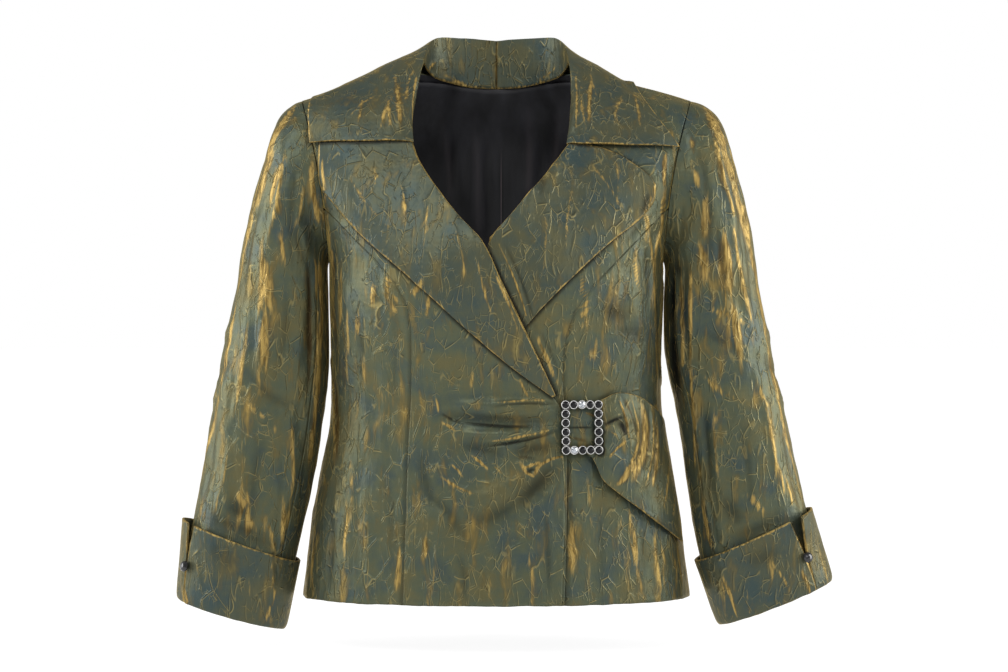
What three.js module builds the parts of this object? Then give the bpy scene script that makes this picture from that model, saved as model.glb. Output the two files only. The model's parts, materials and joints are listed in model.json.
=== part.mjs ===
// A women's wrap blazer in shot taffeta, filled out as when worn, with no wearer inside.
// Millimetres, +Z up, the front faces -Y, and the wearer's left is +X.
// The origin is the middle of the neck opening, at the height of the back neck seam.
import * as THREE from 'three';

// Driving dimensions of the cloth and its seams.
const CLOTH = 1.5;            // wall of the shell fabric with its interlining
const LINING = 1.0;
const SEAM_GAP = 0.4;
const LAYER_GAP = 0.4;        // between layers that lie on each other
const HEM_Z = -532;
const UNDERARM_Z = -190;
const FORM_POWER = 2.3;       // superellipse power of the body sections
const NECK_HALF = 84;         // side neck point, from the middle
const SHOULDER_HALF = 200;    // shoulder point, from the middle
const SHOULDER_Z = -24;

// The body form: half width at the side seam, and depth of front and back from the side seam.
const LEVELS = [
  { z: -560, half: 201, front: 126, back: 113 },
  { z: -532, half: 199, front: 125, back: 112 },
  { z: -480, half: 193, front: 121, back: 107 },
  { z: -435, half: 187, front: 117, back: 100 },
  { z: -400, half: 180, front: 113, back: 93 },
  { z: -350, half: 171, front: 109, back: 82 },
  { z: -311, half: 169, front: 111, back: 80 },
  { z: -270, half: 169.8, front: 117, back: 85 },
  { z: -230, half: 171.2, front: 123, back: 92 },
  { z: -190, half: 172, front: 122, back: 98 },
  { z: -120, half: 172, front: 117, back: 102 },
  { z: -60, half: 172, front: 109, back: 98 },
  { z: 45, half: 172, front: 104, back: 95 },
];

// The ridge that the shoulder seam follows; inside the neck it only guides the form.
const RIDGE = [
  { x: 0, z: 40 },
  { x: 45, z: 28 },
  { x: 84, z: 9 },
  { x: 110, z: 2 },
  { x: 135, z: -6 },
  { x: 165, z: -13.5 },
  { x: 200, z: -24 },
  { x: 230, z: -34 },
];

const FRONT_FALL = { neck: 240, shoulder: 100, power: 0.75 };
const BACK_FALL = { neck: 110, shoulder: 80, power: 0.62 };
const LEAST_RISE = 0.05;      // keeps the section's width finite at the shoulder ridge
const MOST_SHARE = 0.9;
const NORMAL_STEP = 0.4;      // degrees and mm between the points that give a normal
const BUST = { x: 88, z: -212, reach: 7, wide: 50, high: 58 };

// The armhole, an oval in side view that leans in towards the underarm.
const ARMHOLE = { midZ: -107, halfHigh: 83, halfDeep: 48, underarmX: 172, lean: 28 };
const ARMHOLE_PULL = 5;       // power by which a panel's rows bend to meet the armhole
const YOKE_POWER = 1.5;       // the rows above the bust crowd towards the shoulder seam
const SHOULDER_GAP = { front: 0.06, back: 0.03, end: 0.1, neck: 0.6 };
const SIDE_TURN = 89.85;      // the side seam, in degrees round the form from the front
const SIDE_SEAM_SHARE = 0.9994;
const SIDE_TOP_DROP = 3;      // of the side front's top below the princess seam's end
const COLUMN_CROWDING = { back: 0.95, side: 0.9, lapel: 1.25, sleeve: 1.6 };

// Seam lines of the front, x against z.
const PRINCESS_TOP_Z = -136;
const ARMHOLE_LEVELS = [-187, -180, -169, -154, -136];
const PLEAT_BAND = { low: -412, high: -328 };
const RIGHT_PRINCESS = [
  { z: -560, x: 93 },
  { z: -447, x: 89.5 },
  { z: -369, x: 87 },
  { z: -309, x: 84 },
  { z: -249, x: 84 },
  { z: -209, x: 103 },
  { z: -171, x: 140 },
  { z: -136, x: 175 },
];
const LEFT_PRINCESS = [
  { z: -560, x: 67 },
  { z: -447, x: 70 },
  { z: -369, x: 71 },
  { z: -309, x: 66 },
  { z: -262, x: 69 },
  { z: -222, x: 92 },
  { z: -176, x: 136 },
  { z: -136, x: 175 },
];

// Roll lines, from the collar notch down; x is towards the wearer's left.
const BREAK_Z = -327;
const NOTCH_Z = -72;
const RIGHT_ROLL = [
  { z: -532, x: 65 },
  { z: -440, x: 68 },
  { z: -402, x: 67 },
  { z: -382, x: 66.5 },
  { z: -345, x: 66 },
  { z: -327, x: 58.5 },
  { z: -292, x: 43.5 },
  { z: -248, x: 24 },
  { z: -209, x: 4 },
  { z: -176, x: -10.7 },
  { z: -148, x: -35.6 },
  { z: -122, x: -56 },
  { z: -87, x: -78.5 },
  { z: -72, x: -83 },
  { z: -50, x: -86 },
  { z: -25, x: -86 },
  { z: 9, x: -84 },
];
const LEFT_ROLL = [
  { z: -532, x: -44 },
  { z: -300, x: -44 },
  { z: -176, x: -10.7 },
  { z: -149, x: 12 },
  { z: -123, x: 34 },
  { z: -94, x: 57 },
  { z: -74, x: 70.5 },
  { z: -50, x: 80 },
  { z: -25, x: 83 },
  { z: 9, x: 84 },
];

// Outer edges of the lapels, paired with the roll line from the top down.
const RIGHT_LAPEL = [
  { s: 0, rollX: -83, rollZ: -73.6, edgeX: -178, edgeZ: -64 },
  { s: 0.12, rollX: -78, rollZ: -88, edgeX: -178, edgeZ: -94 },
  { s: 0.22, rollX: -66, rollZ: -108, edgeX: -175, edgeZ: -117 },
  { s: 0.28, rollX: -56, rollZ: -122, edgeX: -165, edgeZ: -128 },
  { s: 0.38, rollX: -36, rollZ: -148, edgeX: -142, edgeZ: -157 },
  { s: 0.5, rollX: -10.7, rollZ: -176, edgeX: -108, edgeZ: -188 },
  { s: 0.62, rollX: 4, rollZ: -209, edgeX: -68, edgeZ: -223 },
  { s: 0.75, rollX: 21, rollZ: -243, edgeX: -26, edgeZ: -261 },
  { s: 0.88, rollX: 41, rollZ: -286, edgeX: 20, edgeZ: -300 },
  { s: 1, rollX: 58.5, rollZ: -324, edgeX: 55.5, edgeZ: -325.5 },
];
const LEFT_LAPEL = [
  { s: 0, rollX: 70.5, rollZ: -75.8, edgeX: 155, edgeZ: -107 },
  { s: 0.08, rollX: 63, rollZ: -86, edgeX: 159, edgeZ: -117 },
  { s: 0.16, rollX: 56, rollZ: -96, edgeX: 158, edgeZ: -127 },
  { s: 0.3, rollX: 34, rollZ: -123, edgeX: 146, edgeZ: -146 },
  { s: 0.45, rollX: 12, rollZ: -149, edgeX: 115, edgeZ: -171 },
  { s: 0.6, rollX: -9, rollZ: -178, edgeX: 88, edgeZ: -196 },
  { s: 0.75, rollX: -2, rollZ: -212, edgeX: 60, edgeZ: -223 },
  { s: 0.9, rollX: 10, rollZ: -240, edgeX: 36, edgeZ: -248 },
  { s: 1, rollX: 20, rollZ: -262, edgeX: 25, edgeZ: -261 },
];
const LAPEL_LIP = 3.4;        // the front's edge is set back this far from the roll
const PLAIN_LIP = 0.5;        // the same below the break, where the edge is plain
const NECK_LIP = 6;           // the same at the neck, inside the collar
const BREAK_SPAN = { below: 13, over: 20 };
const NOTCH_SPAN = { below: 12, over: 16 };
const UNDER_GAP = 0.7;        // between the two fronts
const UNDER_SPAN = { x: 82, wide: 20, z: -150, high: 26 };     // where the left front is under
const LAPEL_LIFT = 3.4;       // of the right front where the left lapel goes under it
const LIFT_SPAN = { in: 16, wide: 26, top: -150, high: 24, foot: -322, low: 60 };
const LAPEL_CLEAR = 1.9;      // between a lapel and the front that it lies on
const LAPEL_TUCK = 0.9;       // the left lapel's clearance where the right front covers it
const TUCK_SPAN = { from: 0.5, over: 0.1 };
const LAPEL_ROLL_RISE = 2.2;  // how far the lapel's roll stands off the front
const LAPEL_ROLL_REACH = 14;
const LAPEL_WRAP = [          // the lapel's foot, from behind the front's edge to over it
  { set: 0.75, up: 0 },
  { set: 0.9, up: 0.45 },
  { set: 1.7, up: 0.97 },
];
const LAPEL_FOOT = { inset: 0.2, least: 2.5, flat: 3.4, leastFlat: 4.2 };
const LEFT_LAPEL_BOW = 11;    // of the left lapel's upper edge, which hangs in a curve
const LAPEL_BOW_SPAN = 0.16;

// The collar from the centre back to the notch: seam and outer edge lie on the form, where a
// place is told by the distance behind the shoulder seam, and on the front by the drop below
// it too; the roll is free.
// settle is how fast the fall comes down to the form, and arch how far it bows up between.
const LEFT_COLLAR = [
  { s: 0, seamX: 0, seamY: 66, seamDrop: 0, rollX: 0, rollY: 58, rollZ: 44,
    edgeX: 0, edgeY: 93, edgeDrop: 0, settle: 1.7, arch: 0 },
  { s: 0.14, seamX: 30, seamY: 57.5, seamDrop: 0, rollX: 30, rollY: 54, rollZ: 46,
    edgeX: 44, edgeY: 88, edgeDrop: 0, settle: 1.6, arch: 1 },
  { s: 0.28, seamX: 59, seamY: 36.5, seamDrop: 0, rollX: 58, rollY: 40, rollZ: 46,
    edgeX: 88, edgeY: 72, edgeDrop: 0, settle: 1.3, arch: 3 },
  { s: 0.42, seamX: 76, seamY: 13, seamDrop: 0, rollX: 70, rollY: 16, rollZ: 36,
    edgeX: 122, edgeY: 40, edgeDrop: 0, settle: 1, arch: 6 },
  { s: 0.55, seamX: 80, seamY: -9, seamDrop: 6, rollX: 76, rollY: -12, rollZ: 10,
    edgeX: 141, edgeY: -11.6, edgeDrop: 8, settle: 1, arch: 4 },
  { s: 0.7, seamX: 83, seamY: -29.5, seamDrop: 30, rollX: 76.5, rollY: -29, rollZ: -20,
    edgeX: 156, edgeY: -34.4, edgeDrop: 26, settle: 1.4, arch: 1 },
  { s: 0.85, seamX: 81, seamY: -49.5, seamDrop: 58, rollX: 74.5, rollY: -48, rollZ: -48,
    edgeX: 171, edgeY: -44.6, edgeDrop: 43, settle: 1.7, arch: 0 },
  { s: 1, seamX: 76, seamY: -66, seamDrop: 86, rollX: 71, rollY: -68, rollZ: -73,
    edgeX: 182.5, edgeY: -46, edgeDrop: 56.5, settle: 1.7, arch: 0 },
];
const RIGHT_COLLAR = [
  { s: 0, seamX: 0, seamY: 66, seamDrop: 0, rollX: 0, rollY: 58, rollZ: 44,
    edgeX: 0, edgeY: 93, edgeDrop: 0, settle: 1.7, arch: 0 },
  { s: 0.14, seamX: 30, seamY: 57.5, seamDrop: 0, rollX: 30, rollY: 54, rollZ: 46,
    edgeX: 56, edgeY: 87, edgeDrop: 0, settle: 1.6, arch: 1 },
  { s: 0.28, seamX: 59, seamY: 36.5, seamDrop: 0, rollX: 58, rollY: 40, rollZ: 46,
    edgeX: 114, edgeY: 68, edgeDrop: 0, settle: 1.3, arch: 3 },
  { s: 0.42, seamX: 76, seamY: 13, seamDrop: 0, rollX: 70, rollY: 16, rollZ: 37,
    edgeX: 162, edgeY: 30, edgeDrop: 0, settle: 1, arch: 6 },
  { s: 0.55, seamX: 80, seamY: -9, seamDrop: 6, rollX: 77, rollY: -12, rollZ: 9,
    edgeX: 188, edgeY: -13, edgeDrop: 5, settle: 1, arch: 4 },
  { s: 0.7, seamX: 87, seamY: -29.5, seamDrop: 30, rollX: 82, rollY: -29, rollZ: -24,
    edgeX: 190, edgeY: -30, edgeDrop: 20, settle: 1.4, arch: 1 },
  { s: 0.85, seamX: 90, seamY: -48.7, seamDrop: 56, rollX: 85, rollY: -47, rollZ: -50,
    edgeX: 188.5, edgeY: -38.3, edgeDrop: 35, settle: 1.7, arch: 0 },
  { s: 1, seamX: 88, seamY: -61.3, seamDrop: 78, rollX: 83, rollY: -64, rollZ: -71,
    edgeX: 186.5, edgeY: -43.2, edgeDrop: 51, settle: 1.7, arch: 0 },
];
const RIDGE_CLEAR = 3.4;      // added where the fall crosses the shoulder seam
const RIDGE_SWELL = { y: 14, wide: 30 };
const COLLAR_REACH = 110;     // lowest point of the collar below the shoulder ridge
const COLLAR_CLEAR = 4.8;     // mid wall of the fall above the form, over the lapel
const STAND = { inset: 1.2, drop: 3, most: 60, frontShare: 0.16, middle: 0.5, upper: 0.86 };
const COLLAR_TURN = { out: 2.4, up: 0.6, from: 0.1, clear: 0.6, first: 0.05, settled: 0.45 };
const STAND_SPAN = { from: 0.3, over: 0.3 };      // where the stand shrinks to the lapel's edge
const FRONT_SPAN = { from: 0.52, over: 0.12 };    // where the fall starts to lie on the front

// Sleeve silhouettes from armhole to turn-up: outer and inner line, middle and half depth.
const LEFT_SLEEVE = [
  { s: 0, outX: 200, outZ: -24, inX: 172, inZ: -190, y: 0, deep: 48 },
  { s: 0.03, outX: 213, outZ: -25.5, inX: 174.2, inZ: -192, y: 0, deep: 51 },
  { s: 0.06, outX: 224, outZ: -32, inX: 174.4, inZ: -195, y: 0, deep: 53 },
  { s: 0.1, outX: 233.5, outZ: -50, inX: 174.3, inZ: -201, y: 0, deep: 55 },
  { s: 0.16, outX: 242.5, outZ: -80, inX: 174.2, inZ: -211, y: 0, deep: 57 },
  { s: 0.25, outX: 254.5, outZ: -126, inX: 174, inZ: -230, y: -1, deep: 57 },
  { s: 0.34, outX: 263.5, outZ: -172, inX: 174, inZ: -254, y: -2, deep: 56 },
  { s: 0.46, outX: 272.5, outZ: -234, inX: 174.2, inZ: -288, y: -5, deep: 54 },
  { s: 0.55, outX: 282.5, outZ: -282, inX: 180, inZ: -316, y: -8, deep: 52 },
  { s: 0.67, outX: 295.5, outZ: -342, inX: 188.5, inZ: -360, y: -12, deep: 50 },
  { s: 0.78, outX: 306.5, outZ: -398, inX: 195, inZ: -420, y: -15, deep: 50 },
  { s: 0.88, outX: 316, outZ: -441, inX: 206, inZ: -489, y: -18, deep: 49 },
  { s: 1, outX: 339.8, outZ: -507.9, inX: 226.5, inZ: -553.3, y: -19, deep: 45.3 },
];
const RIGHT_SLEEVE = [
  { s: 0, outX: 200, outZ: -24, inX: 172, inZ: -190, y: 0, deep: 48 },
  { s: 0.03, outX: 212, outZ: -27, inX: 174.2, inZ: -192, y: 0, deep: 51 },
  { s: 0.06, outX: 220, outZ: -34, inX: 174.4, inZ: -195, y: 0, deep: 53 },
  { s: 0.1, outX: 228.5, outZ: -51, inX: 174.3, inZ: -201, y: 0, deep: 55 },
  { s: 0.16, outX: 236, outZ: -80, inX: 174.2, inZ: -211, y: 0, deep: 57 },
  { s: 0.25, outX: 249, outZ: -126, inX: 174, inZ: -230, y: -1, deep: 57 },
  { s: 0.34, outX: 260, outZ: -172, inX: 173.4, inZ: -254, y: -2, deep: 56 },
  { s: 0.46, outX: 269, outZ: -234, inX: 173, inZ: -288, y: -5, deep: 54 },
  { s: 0.55, outX: 281, outZ: -282, inX: 174, inZ: -316, y: -8, deep: 52 },
  { s: 0.67, outX: 292, outZ: -344, inX: 178, inZ: -362, y: -12, deep: 50 },
  { s: 0.78, outX: 299, outZ: -402, inX: 189, inZ: -424, y: -15, deep: 50 },
  { s: 0.88, outX: 310, outZ: -455, inX: 206, inZ: -491, y: -18, deep: 49 },
  { s: 1, outX: 323.6, outZ: -526, inX: 216.2, inZ: -557.5, y: -19, deep: 45.3 },
];
const FORE_SEAM = 140;        // degrees round the sleeve from its outer line, by the front
const HIND_SEAM = 232;
const SEAM_TURN = 0.3;        // degrees from a sleeve seam to each side of it
const CAP_BLEND = 0.07;       // share of the sleeve's length over which the armhole oval fades

// Turned-back cuffs: top edge, bottom fold and the wing that stands off at the split.
const LEFT_CUFF = { topOutX: 322, topOutZ: -441, topInX: 203, topInZ: -495.5, topDeep: 54,
  footOutX: 344, footOutZ: -511, footInX: 225, footInZ: -558.5, footDeep: 48, split: 50, rise: 9 };
const RIGHT_CUFF = { topOutX: 320, topOutZ: -452, topInX: 200.5, topInZ: -496, topDeep: 54,
  footOutX: 327, footOutZ: -530, footInX: 214, footInZ: -562.5, footDeep: 48, split: 36, rise: 2 };
const CUFF_WALL = 2.0;
const CUFF_FOLD = [           // the fold at the foot, and the cloth turned up inside it
  { v: 1.03, inset: 1.6 },
  { v: 1.03, inset: 4.8 },
  { v: 1, inset: 6.5 },
  { v: 0.87, inset: 7 },
];
const CUFF_Y = -19;
const CUFF_SPLIT = 0.35;      // degrees from the split's middle to each of its ends
const WING = { spread: 44, high: 0.6, notch: 6, notchBack: 0.2 };
const BUTTON = { radius: 5.8, height: 6.2, along: 0.56, turn: 2, shank: 0.9, sides: 14 };
const BUTTON_PROFILE = [      // shares of the radius and the height, from the shank to the dome
  [0, 0], [0.5, 0], [0.9, 0.25], [1, 0.45], [0.8, 0.78], [0.42, 0.95], [0, 1],
];

// Pleats drawn from the buckle across the right front: ridges with a round crest.
const PLEATS = [
  { fromX: 58, fromZ: -340, toX: -46, toZ: -337, bow: -6, height: 6.0, half: 7.5 },
  { fromX: 58, fromZ: -352, toX: -44, toZ: -364, bow: -4, height: 5.2, half: 5.5 },
  { fromX: 58, fromZ: -366, toX: -22, toZ: -384, bow: 3, height: 5.4, half: 6.5 },
  { fromX: 60, fromZ: -378, toX: 16, toZ: -392, bow: 5, height: 5.0, half: 6.0 },
  { fromX: 62, fromZ: -398, toX: -30, toZ: -462, bow: 6, height: 3.4, half: 14 },
];

const PLEAT_ENDS = { before: 0.12, fade: 0.45, spread: 0.8 };

// The buckle: settings round a rectangle, each with a cut stone.
const BUCKLE = { x: 82, z: -357, columns: 5, rows: 6, pitchX: 8.5, pitchZ: 9,
  settingR: 4.4, stoneR: 3.2, plate: 2.6, offset: 10.4, sides: 8 };
const STONE = { seat: 1.6, crown: 1.9, tableR: 1.7, footShare: 0.7, gap: 0.3, sunk: 0.4 };

// The sash from the buckle to the side seam, in sections along its length.
const SASH = [
  { s: 0, topX: 67.2, topZ: -333, footX: 67.2, footZ: -381, mid: 4.6, edge: 3.4 },
  { s: 0.12, topX: 76, topZ: -333, footX: 75, footZ: -381, mid: 6.6, edge: 3.4 },
  { s: 0.24, topX: 90, topZ: -333, footX: 88, footZ: -382, mid: 6.8, edge: 3.4 },
  { s: 0.36, topX: 103, topZ: -330, footX: 97, footZ: -390, mid: 7.4, edge: 3.6 },
  { s: 0.48, topX: 118, topZ: -322, footX: 103, footZ: -408, mid: 13, edge: 5.5 },
  { s: 0.62, topX: 136, topZ: -325, footX: 118, footZ: -422, mid: 12, edge: 6.5 },
  { s: 0.76, topX: 152, topZ: -336, footX: 142, footZ: -440, mid: 8.5, edge: 5.5 },
  { s: 0.9, topX: 166, topZ: -349, footX: 168, footZ: -460, mid: 5, edge: 4 },
  { s: 1, topX: 171.6, topZ: -359, footX: 189, footZ: -476, mid: 1.5, edge: 1.3 },
];
const SASH_PLEATS = { count: 4, height: 1.6, calm: 0.5, to: 0.3, fade: 0.5 };
const SASH_WALL = 1.2;
const SASH_CROWN = 0.7;       // power of the crown across the sash; under 1 is flat-topped

// Grid counts: columns across and rows along each piece.
const GRID = {
  backColumns: 8, sideColumns: 5, frontColumns: 11, underColumns: 8, lowerStep: 27, pleatStep: 7,
  upperRows: 8, lapelRows: 18, lapelColumns: 7, collarStations: 15, collarColumns: 8,
  sleeveRows: 15, upperSleeve: 16, underSleeve: 6, cuffRows: 4, cuffColumns: 24,
  sashRows: 15, sashColumns: 12, liningColumns: 11, liningRows: 11,
};

const LINING_BACK = { half: 8, rise: 5, top: -30, settle: 60, side: 150, depth: CLOTH + 2.2,
  short: 22, neckDrop: 4, shoulderDrop: 6 };

const COLOURS = {
  taffeta: { color: 0x5c6650, roughness: 0.45, metalness: 0.1 },
  lining: { color: 0x1d1d20, roughness: 0.6, metalness: 0 },
  metal: { color: 0xd8d8d4, roughness: 0.25, metalness: 0.9 },
  stone: { color: 0x1a1a1c, roughness: 0.1, metalness: 0.1 },
  button: { color: 0x0c0c0e, roughness: 0.15, metalness: 0 },
};

const radians = THREE.MathUtils.degToRad;
const lerp = THREE.MathUtils.lerp;
const clamp = THREE.MathUtils.clamp;

/** A smooth step from 0 to 1. */
function ease(t) {
  const c = clamp(t, 0, 1);
  return c * c * (3 - 2 * c);
}

/** Slope of a table column at row i, kept level at a turning point. */
function slopeAt(rows, by, column, i) {
  const a = rows[Math.max(i - 1, 0)];
  const b = rows[i];
  const c = rows[Math.min(i + 1, rows.length - 1)];
  const before = a === b ? null : (b[column] - a[column]) / (b[by] - a[by]);
  const after = c === b ? null : (c[column] - b[column]) / (c[by] - b[by]);
  if (before === null) return after;
  if (after === null) return before;
  if (before * after <= 0) return 0;
  return 2 * before * after / (before + after);
}

/** Every column of a table, read smoothly at a value of its first column. */
function readAt(rows, by, at) {
  const last = rows.length - 2;
  let i = 0;
  while (i < last && at > rows[i + 1][by]) i += 1;
  const a = rows[i];
  const b = rows[i + 1];
  const span = b[by] - a[by];
  const t = clamp((at - a[by]) / span, 0, 1);
  const found = {};
  for (const column of Object.keys(a)) {
    const m0 = slopeAt(rows, by, column, i) * span;
    const m1 = slopeAt(rows, by, column, i + 1) * span;
    const t2 = t * t;
    const t3 = t2 * t;
    found[column] = (2 * t3 - 3 * t2 + 1) * a[column] + (t3 - 2 * t2 + t) * m0
      + (3 * t2 - 2 * t3) * b[column] + (t3 - t2) * m1;
  }
  return found;
}

const byHeight = (rows) => [...rows].sort((a, b) => a.z - b.z);
const LEVELS_UP = byHeight(LEVELS);
const RIGHT_PRINCESS_UP = byHeight(RIGHT_PRINCESS);
const LEFT_PRINCESS_UP = byHeight(LEFT_PRINCESS);
const RIGHT_ROLL_UP = byHeight(RIGHT_ROLL);
const LEFT_ROLL_UP = byHeight(LEFT_ROLL);

const ridgeZ = (x) => readAt(RIDGE, 'x', Math.abs(x)).z;

/** Share of the full depth reached at a drop below the shoulder ridge. */
function shoulderRise(x, drop, back) {
  const fall = back ? BACK_FALL : FRONT_FALL;
  const outward = clamp((Math.abs(x) - NECK_HALF) / (SHOULDER_HALF - NECK_HALF), 0, 1);
  const t = clamp(drop / lerp(fall.neck, fall.shoulder, outward), 0, 1);
  return Math.sin(t * Math.PI / 2) ** fall.power;
}

/** A point of the armhole oval; the angle is 0 at the shoulder and 90 at the front. */
function armhole(degrees) {
  const a = radians(degrees);
  const up = (1 + Math.cos(a)) / 2;
  return new THREE.Vector3(
    ARMHOLE.underarmX + ARMHOLE.lean * up * up,
    -ARMHOLE.halfDeep * Math.sin(a),
    ARMHOLE.midZ + ARMHOLE.halfHigh * Math.cos(a),
  );
}

/** Half width that the body section needs to pass through the side seam or the armhole. */
function halfSpan(z, depth, back) {
  if (z <= UNDERARM_Z) return readAt(LEVELS_UP, 'z', z).half;
  const turn = Math.acos(clamp((z - ARMHOLE.midZ) / ARMHOLE.halfHigh, -1, 1));
  const edge = armhole(THREE.MathUtils.radToDeg(turn));
  const rise = Math.max(shoulderRise(edge.x, ridgeZ(edge.x) - z, back), LEAST_RISE);
  const share = clamp(Math.abs(edge.y) / (depth * rise), 0, MOST_SHARE);
  return edge.x / (1 - share ** FORM_POWER) ** (1 / FORM_POWER);
}

/** The form at a turn round the body (0 front, 90 side, 180 back) and a height; x is positive. */
function formAt(turn, z) {
  const a = radians(turn);
  const back = turn > 90;
  const level = readAt(LEVELS_UP, 'z', z);
  const depth = back ? level.back : level.front;
  const x = halfSpan(z, depth, back) * Math.abs(Math.sin(a)) ** (2 / FORM_POWER)
    * Math.sign(Math.sin(a));
  const round = Math.abs(Math.cos(a)) ** (2 / FORM_POWER);
  const reach = depth * shoulderRise(x, Math.max(ridgeZ(x) - z, 0), back) * round;
  const near = ((Math.abs(x) - BUST.x) / BUST.wide) ** 2 + ((z - BUST.z) / BUST.high) ** 2;
  const bust = back ? 0 : BUST.reach * Math.exp(-near);
  return new THREE.Vector3(x, back ? reach : -reach - bust * round, z);
}

/** A point of the form moved out along its normal. */
function raised(turn, z, offset) {
  const p = formAt(turn, z);
  const across = formAt(turn + NORMAL_STEP, z).sub(formAt(turn - NORMAL_STEP, z));
  const up = formAt(turn, z + NORMAL_STEP).sub(formAt(turn, z - NORMAL_STEP));
  const normal = across.cross(up).normalize();
  return p.addScaledVector(normal, offset);
}

/** The turn at which the form's section reaches x at a height. */
function turnAt(x, z, back) {
  const level = readAt(LEVELS_UP, 'z', z);
  const span = halfSpan(z, back ? level.back : level.front, back);
  const share = clamp(Math.abs(x) / span, 0, 1);
  const turn = THREE.MathUtils.radToDeg(Math.asin(share ** (FORM_POWER / 2)));
  return back ? 180 - turn : turn;
}

/** A point on or above the form at x and z; x may have either sign. */
function onForm(x, z, offset, back = false) {
  const p = raised(turnAt(x, z, back), z, offset);
  return x < 0 ? new THREE.Vector3(-p.x, p.y, p.z) : p;
}

/** As onForm, found by its distance behind the shoulder seam, which is negative on the front. */
function onFormBehind(x, y, offset) {
  const back = y > 0;
  let high = ridgeZ(x);
  let low = high - COLLAR_REACH;
  for (let i = 0; i < 20; i += 1) {
    const z = (high + low) / 2;
    if (Math.abs(formAt(turnAt(x, z, back), z).y) < Math.abs(y)) high = z;
    else low = z;
  }
  return onForm(x, (high + low) / 2, offset, back);
}

/** A point pushed out along the form's normal until it clears the form. */
function clearOfForm(p, clear, ridgeClear) {
  const back = p.y > 0;
  const z = Math.min(p.z, ridgeZ(p.x) - SHOULDER_GAP.front);
  const seat = onForm(p.x, z, 0, back);
  const out = onForm(p.x, z, 1, back).sub(seat);
  const wanted = clear + ridgeClear * Math.exp(-(((p.y - RIDGE_SWELL.y) / RIDGE_SWELL.wide) ** 2));
  const short = wanted - p.clone().sub(seat).dot(out);
  return short > 0 ? p.clone().addScaledVector(out, short) : p;
}

/** Signed volume of an indexed closed mesh, to tell which way its faces point. */
function volumeOf(positions, index) {
  const a = new THREE.Vector3();
  const b = new THREE.Vector3();
  const c = new THREE.Vector3();
  let sum = 0;
  for (let i = 0; i < index.length; i += 3) {
    a.fromArray(positions, index[i] * 3);
    b.fromArray(positions, index[i + 1] * 3);
    c.fromArray(positions, index[i + 2] * 3);
    sum += a.dot(b.cross(c)) / 6;
  }
  return sum;
}

/** A closed wall between two grids of points; a ring joins its last column to its first. */
function wallBetween(outer, inner, ring = false) {
  const rows = outer.length;
  const columns = outer[0].length;
  const positions = [];
  const index = [];
  for (const grid of [outer, inner]) {
    for (const row of grid) {
      for (const p of row) positions.push(p.x, p.y, p.z);
    }
  }
  const at = (layer, i, j) => (layer * rows + i) * columns + (j % columns);
  const quad = (a, b, c, d) => index.push(a, b, c, a, c, d);
  const across = ring ? columns : columns - 1;
  for (let i = 0; i < rows - 1; i += 1) {
    for (let j = 0; j < across; j += 1) {
      quad(at(0, i, j), at(0, i, j + 1), at(0, i + 1, j + 1), at(0, i + 1, j));
      quad(at(1, i, j), at(1, i + 1, j), at(1, i + 1, j + 1), at(1, i, j + 1));
    }
  }
  for (let j = 0; j < across; j += 1) {
    quad(at(0, 0, j + 1), at(0, 0, j), at(1, 0, j), at(1, 0, j + 1));
    quad(at(0, rows - 1, j), at(0, rows - 1, j + 1), at(1, rows - 1, j + 1), at(1, rows - 1, j));
  }
  if (!ring) {
    const end = columns - 1;
    for (let i = 0; i < rows - 1; i += 1) {
      quad(at(0, i, 0), at(0, i + 1, 0), at(1, i + 1, 0), at(1, i, 0));
      quad(at(0, i + 1, end), at(0, i, end), at(1, i, end), at(1, i + 1, end));
    }
  }
  if (volumeOf(positions, index) < 0) index.reverse();
  const geometry = new THREE.BufferGeometry();
  geometry.setAttribute('position', new THREE.Float32BufferAttribute(positions, 3));
  geometry.setIndex(index);
  geometry.computeVertexNormals();
  return geometry;
}

/** A wall of even thickness about a grid of points on its middle surface. */
function wallAbout(grid, thickness, ring = false) {
  const rows = grid.length;
  const columns = grid[0].length;
  const pick = (i, j) => {
    const row = clamp(i, 0, rows - 1);
    const column = ring ? (j + columns) % columns : clamp(j, 0, columns - 1);
    return grid[row][column];
  };
  const moved = (amount) => grid.map((line, i) => line.map((p, j) => {
    const across = pick(i, j + 1).clone().sub(pick(i, j - 1));
    const along = pick(i + 1, j).clone().sub(pick(i - 1, j));
    const normal = across.cross(along).normalize();
    return p.clone().addScaledVector(normal, amount);
  }));
  return wallBetween(moved(thickness / 2), moved(-thickness / 2), ring);
}

/** A grid of rows and columns of points from a function of two shares. */
function gridOf(rowShares, columnShares, point) {
  return rowShares.map((v) => columnShares.map((u) => point(u, v)));
}

/** Even shares from 0 to 1. */
function shares(count, power = 1) {
  return Array.from({ length: count + 1 }, (_, i) => (i / count) ** power);
}

/** Heights from the hem to a top, in even steps, finer between two heights where given. */
function heights(top, fine = null) {
  const bands = fine
    ? [[HEM_Z, fine.low, GRID.lowerStep], [fine.low, fine.high, GRID.pleatStep],
      [fine.high, top, GRID.lowerStep]]
    : [[HEM_Z, top, GRID.lowerStep]];
  const found = [HEM_Z];
  for (const [low, high, step] of bands) {
    const count = Math.ceil((high - low) / step);
    for (let i = 1; i <= count; i += 1) found.push(lerp(low, high, i / count));
  }
  return found;
}

/** Heights of a front's rows, which its side piece shares so that the seam matches. */
function frontHeights(over) {
  return [...heights(UNDERARM_Z, over ? PLEAT_BAND : null), ...ARMHOLE_LEVELS];
}

/** The armhole's angle, by the front or the back, at a height. */
function armholeTurn(z) {
  return THREE.MathUtils.radToDeg(Math.acos(clamp((z - ARMHOLE.midZ) / ARMHOLE.halfHigh, -1, 1)));
}

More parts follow.
